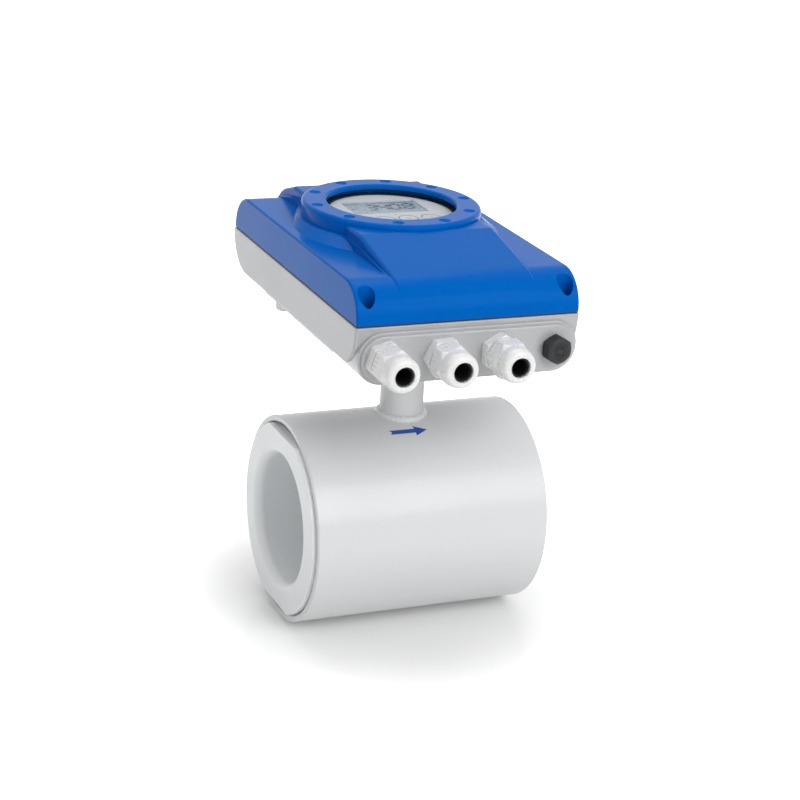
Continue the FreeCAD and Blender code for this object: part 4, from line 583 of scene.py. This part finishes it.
class FLOWMETER_OT_print_arrow(bpy.types.Operator):
    """Print the flow arrow on the sensor housing"""
    bl_idname = "flowmeter.print_arrow"
    bl_label = "Flow arrow"

    def execute(self, context):
        """The surface is x = along the outline and (y, z) = r (-sin a, cos a).

        The angle a is the arrow's place on the tube less the sideways distance divided by the
        radius r. The shaft and the head are one slab each.
        """
        sizes = context.scene.flow_print
        length, shaft, head = (value / MM for value in (
            sizes.arrow_length, sizes.arrow_shaft, sizes.arrow_head))
        shaft_rows, head_rows, columns = 12, 10, 9
        neck = length * ARROW_NECK
        along = np.concatenate([
            np.linspace(0, neck, shaft_rows), np.linspace(neck, length, head_rows)])
        width = np.concatenate([
            np.full(shaft_rows, shaft / 2), np.linspace(head / 2, ARROW_TIP, head_rows)])
        side = np.linspace(-1, 1, columns)[None, :]
        from_tail = np.concatenate([np.linspace(1, 0, shaft_rows), np.zeros(head_rows)])[:, None]
        from_barbs = np.concatenate([np.zeros(shaft_rows), np.linspace(1, 0, head_rows)])[:, None]
        notch = from_tail * (1 - np.abs(side)) * ARROW_NOTCH
        barb = from_barbs * (np.abs(side) - BARB_START).clip(0) * -ARROW_BARB
        x = ARROW_START + along[:, None] + notch + barb
        across = width[:, None] * side
        parts = []
        for part in (slice(0, shaft_rows), slice(shaft_rows, shaft_rows + head_rows)):
            sheets = []
            for radius in (TUBE_RADIUS + ARROW_ABOVE, TUBE_RADIUS - ARROW_BELOW):
                angle = sizes.arrow_angle - across[part] / radius
                sheets.append(np.stack([
                    x[part], -radius * np.sin(angle), radius * np.cos(angle)], axis=-1))
            parts.append(slab(*sheets))
        points, faces = merge(parts)
        mesh_piece("flow_arrow", points, faces, "blue_pad_print", "meter")
        return {"FINISHED"}


# Turn of each gland's body and dome nut on its axis, in degrees, as they were tightened, and the
# plug's.
GLAND_TURNS = {1: (16, 17), 2: (3, 16), 3: (28, 0)}
PLUG_TURN = 30
# Half the width over the flats of a gland's body, a dome nut and the plug.
BODY_APOTHEM = 13.0
NUT_APOTHEM = 12.85
PLUG_APOTHEM = 9.3
# Profiles of the glands and the plug: station in front of the boss's face, radius and rounding.
BODY_PROFILE = (
    (-9, 6.8, 0.1), (-9, 9.3, 0.3), (-8.4, 10, 0.3), (-0.05, 10, 0.02), (-0.05, 12, 0.02),
    (0, 12, 0.02), (0, 14.9, 0.3), (1.0, 15.2, 0.4), (7.3, 15.2, 0.4), (8.3, 13.9, 0.4),
    (8.4, 10.4, 0.2), (18, 10.4, 0.3), (19, 9.4, 0.3), (19, 8.08, 0.2), (7.7, 8.08, 0.2),
    (7.7, 6.8, 0.2))
NUT_PROFILE = (
    (9.4, 10.48, 0.2), (9.4, 13.7, 0.3), (10.2, 15.3, 0.3), (20.6, 15.3, 0.5), (23.6, 12.9, 0.9),
    (31.4, 12.9, 2.2), (34.9, 11.5, 1.6), (35.75, 8.75, 0.4), (35.45, 8.35, 0.15),
    (35.65, 8.1, 0.15), (36.0, 7.75, 0.25), (35.9, 7.25, 0.35), (33.3, 7.25, 0.2),
    (32.8, 8.3, 0.2), (28.8, 9.9, 0.3), (19.3, 9.9, 0.2), (19.3, 10.48, 0.2))
INSERT_PROFILE = (
    (8, 6.2, 0.2), (8, 8, 0.3), (19.25, 8, 0.2), (19.3, 9.55, 0.2), (28.5, 9.6, 0.4),
    (32.5, 8, 0.3), (32.7, 6.6, 0.2), (34.4, 6.6, 0.2), (34.4, 6.15, 0.2), (32.6, 5.75, 0.3),
    (31.4, 5.75, 0.3), (30.8, 6.2, 0.2))
PLUG_PROFILE = (
    (-9, 0, 0.01), (-9, 7.4, 0.3), (-8.4, 8, 0.3), (1, 8, 0.1), (1, 10.2, 0.2), (1.8, 10.9, 0.3),
    (7.2, 10.9, 0.5), (9.4, 8.9, 0.4), (9.55, 8.3, 0.2), (10, 7.6, 0.4), (10, 0, 0.01))
# Points round a gland's body or insert and round the plug.
BODY_COLUMNS, PLUG_COLUMNS = 150, 192
# Profile points with a larger radius than this carry the detail: the nut's grooves, the body's
# front thread, its thread in the boss, the insert's dents and the plug's thread.
NUT_OUTSIDE, BODY_OUTSIDE, SHANK_OUTSIDE, INSERT_OUTSIDE, PLUG_OUTSIDE = 12, 9.3, 9.2, 6.3, 7.2
# Places across half a flat of the dome nut that get points, closest together at the grooves, then
# the grooves' own places, their width and the stations between which they rise and fall.
NUT_ACROSS = (-7.5, -7.3, -6.9, -6.2, -5.2, -5.0, -4.75, -4.5, -4.3, -3.2, -2.1, -1.85, -1.6,
              -1.35, -1.1, 0)
GROOVE_PLACES = (-4.75, -1.6, 1.6, 4.75)
GROOVE_WIDTH = 0.2
GROOVE_RISE, GROOVE_FALL = (9.7, 10.5), (16.0, 17.4)
# Stations where a gland body's front thread starts and ends, and where the threads in the boss do.
THREAD_START, THREAD_END = 8.4, 19.2
SHANK_START, SHANK_END, PLUG_SHANK_END = -9.5, 0.4, 1.2
# How far a finger dents the insert's edge, and the stations between which the dent rises.
FINGER_DEPTH, FINGER_RISE = 0.5, (32.4, 32.9)
# Rays on the plug's face: how many, where they start and how they drift with the radius. Then
# their depth, how far the whole plug is set back, so that they stay in its solid, and where they
# rise and fall: between two stations and between two pairs of radii.
PLUG_RAYS = ((17, 1.3, 0), (31, 4.0, 1), (47, 2.1, -1))
RAY_DEPTH, PLUG_BACK = 0.085, 0.05
FACE_RISE, RAY_RISE, RAY_FALL = (9.7, 9.95), (1.0, 3.5), (6.4, 7.4)


def entry_centre(node):
    """Give the x and z of a cable entry's axis from the node that sits in it."""
    middle = (low(node) + high(node)) / 2
    return float(middle[0]), float(middle[2])


class FLOWMETER_OT_build_glands(bpy.types.Operator):
    """Build the three cable glands: threaded bodies, sealing inserts and dome nuts"""
    bl_idname = "flowmeter.build_glands"
    bl_label = "Cable glands"

    def execute(self, context):
        """Each is a turned profile, changed by a function of the station and the angle.

        A nut's is cut by a hexagon and, along the rear half of each flat, by four shallow grooves.
        A body's is cut by a hexagon and by a thread in front of it and behind. An insert's front
        edge waves in and out once for each finger that presses on it.
        """
        sizes = context.scene.flow_gland
        grip, pitch, depth = (value / MM for value in (
            sizes.grip_depth, sizes.thread_pitch, sizes.thread_depth))
        half = np.asarray(NUT_ACROSS)
        fine = sector_angles(np.concatenate([half, -half[-2::-1]]))
        even = full_turn(BODY_COLUMNS)
        for number, (body_turn, nut_turn) in GLAND_TURNS.items():
            centre = entry_centre(f"gland_insert_{number}")

            def body(station, radius, angle):
                outside = (station > THREAD_START - 0.02) & (radius > BODY_OUTSIDE)
                cut = thread_depth(station, angle, pitch, depth, THREAD_START, THREAD_END) * outside
                shank = (station < 0) & (radius > SHANK_OUTSIDE)
                cut += thread_depth(station, angle, pitch, depth, SHANK_START, SHANK_END) * shank
                return station, within_hexagon(radius - cut, angle, body_turn, BODY_APOTHEM)

            def nut(station, radius, angle):
                across = BODY_APOTHEM * np.tan(flat_place(angle, nut_turn))
                groove = sum(np.exp(-((across - place) / GROOVE_WIDTH) ** 2)
                             for place in GROOVE_PLACES)
                window = smooth_step(station, *GROOVE_RISE) * (radius > NUT_OUTSIDE)
                window = window * (1 - smooth_step(station, *GROOVE_FALL))
                hexagon = within_hexagon(radius, angle, nut_turn, NUT_APOTHEM)
                return station, hexagon - grip * groove * window

            def insert(station, radius, angle):
                wave = 0.5 + 0.5 * np.cos(sizes.scallops * angle)
                front = smooth_step(station, *FINGER_RISE) * (radius > INSERT_OUTSIDE)
                return station, radius + FINGER_DEPTH * wave * front

            for name, node, profile, shape, angle, finish, slot in (
                    ("gland_body", "gland_body", BODY_PROFILE, body,
                     even + math.radians(body_turn), "moulded_white_polyamide", "gland_white"),
                    ("dome_nut", "gland_nut", NUT_PROFILE, nut,
                     fine + math.radians(nut_turn), "moulded_white_polyamide", "gland_white"),
                    ("sealing_insert", "gland_insert", INSERT_PROFILE, insert,
                     even, "vulcanised_rubber", "black_rubber")):
                points, faces = entry_surface(profile, angle, shape, centre)
                body_name = "meter" if node == "gland_body" else f"{node}_{number}"
                piece = mesh_piece(f"{name}_{number}", points, faces, finish, body_name)
                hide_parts(f"{node}_{number}")
        return {"FINISHED"}


class FLOWMETER_OT_build_plug(bpy.types.Operator):
    """Build the blind plug with its rough moulded face"""
    bl_idname = "flowmeter.build_plug"
    bl_label = "Blind plug"

    def execute(self, context):
        """The plug is a turned profile cut by a hexagon, with a thread on its shank.

        Its face rises and falls by a sum of sines of the angle, as the moulded surface does in
        rays, fading out at its middle and its edge.
        """
        sizes = context.scene.flow_gland
        pitch, depth = sizes.thread_pitch / MM, sizes.thread_depth / MM
        angle = full_turn(PLUG_COLUMNS)

        def shape(station, radius, turned):
            rays = sum(np.sin(count * turned + phase + drift * radius)
                       for count, phase, drift in PLUG_RAYS)
            face = smooth_step(station, *FACE_RISE) * smooth_step(radius, *RAY_RISE)
            face = face * (1 - smooth_step(radius, *RAY_FALL))
            shank = (station < 0.9) & (radius > PLUG_OUTSIDE)
            cut = thread_depth(station, turned, pitch, depth, SHANK_START, PLUG_SHANK_END) * shank
            return (station - PLUG_BACK + RAY_DEPTH * (rays - 1) * face,
                    within_hexagon(radius - cut, turned, PLUG_TURN, PLUG_APOTHEM))

        points, faces = entry_surface(PLUG_PROFILE, angle, shape, entry_centre("blind_plug"))
        piece = mesh_piece(
            "screw_plug", points, faces, "glass_filled_polyamide", "blind_plug")
        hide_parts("blind_plug")
        return {"FINISHED"}


# How the weld bead's radius wanders: reach in millimetres, waves round the neck and phase.
WELD_WANDER = ((0.06, 3, 0.7), (0.05, 7, 2.0), (0.04, 13, 0))
# Points along one ripple and round the bead.
RIPPLE_ROWS, WELD_COLUMNS = 8, 20


class FLOWMETER_OT_build_weld(bpy.types.Operator):
    """Lay the rippled weld bead round the foot of the neck"""
    bl_idname = "flowmeter.build_weld"
    bl_label = "Weld bead"

    def execute(self, context):
        """The bead is a small circle carried round the neck's foot.

        Its middle stays on the neck's radius, a little below the tube's crown, and its own radius
        swells once a ripple and wanders slowly with the angle.
        """
        sizes = context.scene.flow_weld
        bead, ripple, depth = (value / MM for value in (
            sizes.bead_height, sizes.ripple_length, sizes.ripple_depth))
        neck = float(high("neck_seal")[0]) - SEAL_REACH
        ripples = round(2 * math.pi * neck / ripple)
        angle = full_turn(ripples * RIPPLE_ROWS)[:, None]
        around = full_turn(WELD_COLUMNS)[None, :]
        lean = 0.5 * np.cos(around)
        wave = np.abs(np.sin(ripples * angle / 2 + lean))
        wander = sum(reach * np.sin(waves * angle + phase) for reach, waves, phase in WELD_WANDER)
        size = bead + wander - depth * (1 - wave)
        reach = neck + size * np.cos(around)
        height = TUBE_RADIUS - WELD_DROP + size * np.sin(around)
        points = np.stack([reach * np.cos(angle), reach * np.sin(angle), height], axis=-1)
        faces = grid_faces(len(angle), WELD_COLUMNS, closed=True)
        mesh_piece("neck_weld_bead", points.reshape(-1, 3), faces, "coated_weld_bead",
                   "meter", crease=60)
        return {"FINISHED"}


# Segments of each digit: a at the top, then clockwise to f, and g across the middle.
SEGMENTS = {
    "0": "abcdef", "1": "bc", "2": "abged", "3": "abgcd", "4": "fgbc", "5": "afgcd",
    "6": "afgedc", "7": "abc", "8": "abcdefg", "9": "abcdfg",
}
# Width and half a stroke of a digit as shares of its height, and the gap after it.
DIGIT_WIDTH, DIGIT_STROKE, DIGIT_GAP = 0.5, 0.095, 2.5
# The decimal point: its side, its offset from the next digit, and the room that it takes.
POINT_SIDE, POINT_OFFSET, POINT_ROOM = 1.5, (-1.9, -0.8), 1.4
# Places on the display of the reading, the plus sign and the painted shadow line along the panel's
# rear edge, where the frame's shade falls, with half the width and length of the sign's bars and
# the shadow line's half length and width.
READING_PLACE = np.array([-14.0, 51.2])
SIGN_PLACE, SIGN_HALF = np.array([-25.0, 56.0]), (0.35, 2.0)
SHADOW_LINE_PLACE, SHADOW_LINE_HALF, SHADOW_LINE_WIDTH = 69.3, 28.5, 1.1
# Thickness of a segment and of the print on the foil.
SEGMENT_THICKNESS, PRINT_THICKNESS = 0.05, 0.04


def rectangle(x_low, y_low, x_high, y_high):
    """Give the outline of a rectangle."""
    return np.array([[x_low, y_low], [x_high, y_low], [x_high, y_high], [x_low, y_high]])


def segment_outlines(height):
    """Give the six-cornered outline of each of the seven segments of a digit."""
    width, half = height * DIGIT_WIDTH, height * DIGIT_STROKE
    ends = {"a": ((0, 2), (1, 2)), "b": ((1, 2), (1, 1)), "c": ((1, 1), (1, 0)),
            "d": ((0, 0), (1, 0)), "e": ((0, 1), (0, 0)), "f": ((0, 2), (0, 1)),
            "g": ((0, 1), (1, 1))}
    outlines = {}
    for name, (first, last) in ends.items():
        start = np.array([first[0] * width, first[1] * height / 2])
        end = np.array([last[0] * width, last[1] * height / 2])
        along = (end - start) / np.linalg.norm(end - start)
        across = np.array([-along[1], along[0]])
        start, end = start + along * half * 0.5, end - along * half * 0.5
        outlines[name] = np.array([
            start, start + (along - across) * half, end - (along + across) * half, end,
            end + (across - along) * half, start + (along + across) * half])
    return outlines


class FLOWMETER_OT_show_reading(bpy.types.Operator):
    """Show the reading on the liquid crystal panel, with a painted shadow line along its rear edge
    """
    bl_idname = "flowmeter.show_reading"
    bl_label = "Reading"

    def execute(self, context):
        """Segments are six-cornered plates, leant sideways by height times the slant's tangent."""
        sizes = context.scene.flow_display
        height = sizes.digit_height / MM
        lean = math.tan(sizes.digit_slant)
        outlines = segment_outlines(height)
        upright = []
        x = 0.0
        for character in sizes.reading:
            if character == ".":
                point = rectangle(0, 0, POINT_SIDE, POINT_SIDE)
                upright.append(point + [x + POINT_OFFSET[0], POINT_OFFSET[1]])
                x += POINT_ROOM
            else:
                upright.extend(outlines[segment] + [x, 0] for segment in SEGMENTS[character])
                x += height * DIGIT_WIDTH + DIGIT_GAP
        shapes = []
        for shape in upright:
            leant = np.column_stack([shape[:, 1] * lean, np.zeros(len(shape))])
            shapes.append(shape + leant + READING_PLACE)
        bar = rectangle(-SIGN_HALF[0], -SIGN_HALF[1], *SIGN_HALF)
        shapes += [bar + SIGN_PLACE, bar[:, ::-1][::-1] + SIGN_PLACE]
        # A dark line along the panel's rear edge: painted shadow of the display's frame, not a
        # segment.
        shapes.append(rectangle(-SHADOW_LINE_HALF, 0, SHADOW_LINE_HALF, SHADOW_LINE_WIDTH) + [0, SHADOW_LINE_PLACE])
        parts = []
        for shape in shapes:
            points, faces = plate(shape, SEGMENT_THICKNESS)
            parts.append((points + [0, 0, SCREEN_HIGH[2]], faces))
        points, faces = merge(parts)
        mesh_piece(
            "screen_digits_and_shadow_line", points, faces, "crystal_segment_and_painted_shadow", "display_unit")
        return {"FINISHED"}


# The printed keys: the middle of their row, the width of an outline, and the width and stroke of a
# mark. Then the dot between the keys and the panel, and the line inside the foil's edge.
KEY_ROW = (-3.3, 22.6)
KEY_LINE, CARET_WIDTH, CARET_STROKE = 0.75, 3.6, 0.5
DOT_PLACE, DOT_RADIUS = (0, 34), 0.5
EDGE_INSET, EDGE_LINE = 1.2, 0.35


def caret(width):
    """Give the outline of a small arrowhead that points away from the reader."""
    half, stroke = width / 2, CARET_STROKE
    return np.array([[-half, 0], [0, half], [half, 0], [half, -stroke],
                     [0, half - stroke * 1.4], [-half, -stroke]])


class FLOWMETER_OT_print_face(bpy.types.Operator):
    """Print the key outlines, their marks and the edge line on the display's face"""
    bl_idname = "flowmeter.print_face"
    bl_label = "Face print"

    def execute(self, context):
        """Outlines are small rectangles carried round circles.

        Marks are plates, each turned a quarter further than the last.
        """
        sizes = context.scene.flow_display
        radius, spacing = sizes.key_radius / MM, sizes.key_spacing / MM
        parts = []
        for number in range(sizes.key_count):
            x = KEY_ROW[0] + (number - (sizes.key_count - 1) / 2) * spacing
            parts.append(ring_band(radius, KEY_LINE, PRINT_THICKNESS, (x, KEY_ROW[1]), FACE_TOP))
            cosine, sine = math.cos(number * math.pi / 2), math.sin(number * math.pi / 2)
            mark = caret(CARET_WIDTH) @ np.array([[cosine, sine], [-sine, cosine]])
            points, faces = plate(mark, PRINT_THICKNESS)
            parts.append((points + [x, KEY_ROW[1], FACE_TOP], faces))
        parts.append(ring_band(DOT_RADIUS, DOT_RADIUS, PRINT_THICKNESS, DOT_PLACE, FACE_TOP, 24))
        edge = float(high("display_face")[0]) - EDGE_INSET
        parts.append(ring_band(
            edge, EDGE_LINE, PRINT_THICKNESS, (0, WINDOW_CENTRE), FACE_TOP, 180))
        points, faces = merge(parts)
        mesh_piece(
            "face_print", points, faces, "screen_printed_ink", "display_unit")
        return {"FINISHED"}


# Half the floor's side in metres.
FLOOR_HALF = 14.0
# The floor's own glow by the distance from the part's origin: from the first to the second of
# these, in metres, it rises from the first to the second glow, so that the shadow stays near the
# part and the floor is white further out.
GLOW_DISTANCES = (0.1, 0.28)
GLOWS = (0.06, 1.0)
# Strength of the world's light on the part, and of the world where it is seen.
WORLD_LIGHT, WORLD_SEEN = 0.42, 1.0
# The camera fitted to the photograph: its axes and place in metres, the focal length in pixels of a
# picture that is 800 pixels wide, and the sensor's width.
CAMERA_RIGHT = (0.91882, -0.38933, 0.0647)
CAMERA_UP = (0.07865, 0.34126, 0.93667)
CAMERA_BACK = (-0.38675, -0.85555, 0.34418)
CAMERA_PLACE = (-0.6169, -1.3619, 0.6351)
FOCAL_PIXELS, PICTURE_PIXELS, SENSOR = 2114, 800, 36


class FLOWMETER_OT_build_stage(bpy.types.Operator):
    """Set the floor, the lamps and the camera"""
    bl_idname = "flowmeter.build_stage"
    bl_label = "Stage"

    def execute(self, context):
        look = context.scene.flow_stage
        height = low("sensor_housing")[2] * MM
        size = FLOOR_HALF
        mesh = bpy.data.meshes.new("studio_floor")
        mesh.from_pydata([(-size, -size, height), (size, -size, height), (size, size, height),
                          (-size, size, height)], [], [(0, 1, 2, 3)])
        floor = bpy.data.objects.new("studio_floor", mesh)
        context.scene.collection.objects.link(floor)
        floor_finish(look.floor_colour)
        mesh.materials.append(bpy.data.materials["white_lacquered_floor"])
        build_world()
        # Each lamp's place, the point that it is aimed at, its width in metres and its power.
        for name, place, aim, width, power in (
                ("key_lamp", (0.6, -1.9, 1.25), (0, 0, 0.08), 1.4, look.key_power),
                ("left_lamp", (-2.2, -0.6, 1.1), (0, 0, 0.05), 1.2, 5.0),
                ("top_lamp", (0.1, 0.7, 2.2), (0, 0, 0.1), 1.6, 14.0)):
            add_lamp(name, place, aim, width, power)
        add_camera()
        return {"FINISHED"}


def seen_rays(tree):
    """Give 1 for rays that show the backdrop: the camera's, reflected ones and those in glass."""
    path = add_node(tree, "ShaderNodeLightPath")
    seen = path.outputs["Is Camera Ray"]
    for kind in ("Is Glossy Ray", "Is Transmission Ray"):
        larger = add_node(tree, "ShaderNodeMath", {0: seen, 1: path.outputs[kind]},
                          operation="MAXIMUM")
        seen = larger.outputs["Value"]
    return seen


def floor_finish(colour):
    """Make a white lacquered floor that keeps the shadow and fades into white further out."""
    tree, shader = new_material("white_lacquered_floor", Roughness=0.12, IOR=1.4)
    shader.inputs["Base Color"].default_value = (*colour, 1.0)
    place = add_node(tree, "ShaderNodeTexCoord")
    distance = add_node(tree, "ShaderNodeVectorMath", {0: place.outputs["Object"]},
                        operation="LENGTH")
    fade = add_node(tree, "ShaderNodeMapRange", {
        "Value": distance.outputs["Value"], "From Min": GLOW_DISTANCES[0],
        "From Max": GLOW_DISTANCES[1], "To Min": GLOWS[0], "To Max": GLOWS[1]},
        interpolation_type="SMOOTHSTEP")
    strength = add_node(tree, "ShaderNodeMath", {0: seen_rays(tree), 1: fade.outputs["Result"]},
                        operation="MULTIPLY")
    glow = add_node(tree, "ShaderNodeEmission", {
        "Color": (1, 1, 1, 1), "Strength": strength.outputs["Value"]})
    total = add_node(tree, "ShaderNodeAddShader", {
        0: shader.outputs["BSDF"], 1: glow.outputs["Emission"]})
    output = next(node for node in tree.nodes if node.type == "OUTPUT_MATERIAL")
    tree.links.new(total.outputs["Shader"], output.inputs["Surface"])


def build_world():
    """Light the stage from all sides with a soft white, and show pure white behind it."""
    world = bpy.data.worlds.new("soft_studio")
    bpy.context.scene.world = world
    world.use_nodes = True
    tree = world.node_tree
    tree.nodes.clear()
    strength = add_node(tree, "ShaderNodeMapRange", {
        "Value": seen_rays(tree), "To Min": WORLD_LIGHT, "To Max": WORLD_SEEN})
    light = add_node(tree, "ShaderNodeBackground", {
        "Color": (1, 1, 1, 1), "Strength": strength.outputs["Result"]})
    output = add_node(tree, "ShaderNodeOutputWorld")
    tree.links.new(light.outputs["Background"], output.inputs["Surface"])


def aim_axes(place, aim):
    """Give the matrix that puts an object at a place with its -Z axis towards a point."""
    direction = Vector(aim) - Vector(place)
    matrix = direction.to_track_quat("-Z", "Y").to_matrix().to_4x4()
    matrix.translation = place
    return matrix


def add_lamp(name, place, aim, width, power):
    """Add a square soft lamp."""
    lamp = bpy.data.lights.new(name, "AREA")
    lamp.shape = "SQUARE"
    lamp.size = width
    lamp.energy = power
    thing = bpy.data.objects.new(name, lamp)
    thing.matrix_world = aim_axes(place, aim)
    bpy.context.scene.collection.objects.link(thing)


def add_camera():
    """Add the camera that was fitted to the photograph."""
    camera = bpy.data.cameras.new("photo_camera")
    camera.sensor_width = SENSOR
    camera.lens = SENSOR * FOCAL_PIXELS / PICTURE_PIXELS
    camera.clip_end = 60
    thing = bpy.data.objects.new("photo_camera", camera)
    axes = zip(CAMERA_RIGHT, CAMERA_UP, CAMERA_BACK, CAMERA_PLACE)
    thing.matrix_world = Matrix([*axes, (0, 0, 0, 1)])
    bpy.context.scene.collection.objects.link(thing)
    bpy.context.scene.camera = thing
    bpy.context.scene.view_settings.view_transform = "Standard"


GROUPS = {
    "flow_print": PrintSizes,
    "flow_gland": GlandSizes,
    "flow_weld": WeldSizes,
    "flow_display": DisplaySizes,
    "flow_stage": StageLook,
}
STEPS = (
    FLOWMETER_OT_finish_nodes,
    FLOWMETER_OT_build_glands,
    FLOWMETER_OT_build_plug,
    FLOWMETER_OT_build_weld,
    FLOWMETER_OT_print_arrow,
    FLOWMETER_OT_show_reading,
    FLOWMETER_OT_print_face,
    FLOWMETER_OT_build_stage,
)


class FLOWMETER_PT_panel(bpy.types.Panel):
    """List the meter's pieces and their sizes"""
    bl_idname = "FLOWMETER_PT_panel"
    bl_label = "Flow Meter"
    bl_space_type = "VIEW_3D"
    bl_region_type = "UI"
    bl_category = "Flow Meter"

    def draw(self, context):
        layout = self.layout
        for group_name in GROUPS:
            group = getattr(context.scene, group_name)
            box = layout.box()
            for name in group.bl_rna.properties.keys():
                if name not in ("rna_type", "name"):
                    box.prop(group, name)
        for step in STEPS:
            layout.operator(step.bl_idname)


CLASSES = (*GROUPS.values(), *STEPS, FLOWMETER_PT_panel)


def register():
    """Register the classes and tie the sizes to the scene."""
    for kind in CLASSES:
        bpy.utils.register_class(kind)
    for name, kind in GROUPS.items():
        setattr(bpy.types.Scene, name, PointerProperty(type=kind))


def unregister():
    """Undo what register did."""
    for name in GROUPS:
        delattr(bpy.types.Scene, name)
    for kind in reversed(CLASSES):
        bpy.utils.unregister_class(kind)


def main():
    """Build every piece in order."""
    register()
    for step in STEPS:
        group, name = step.bl_idname.split(".")
        getattr(getattr(bpy.ops, group), name)()


if __name__ == "__main__":
    main()
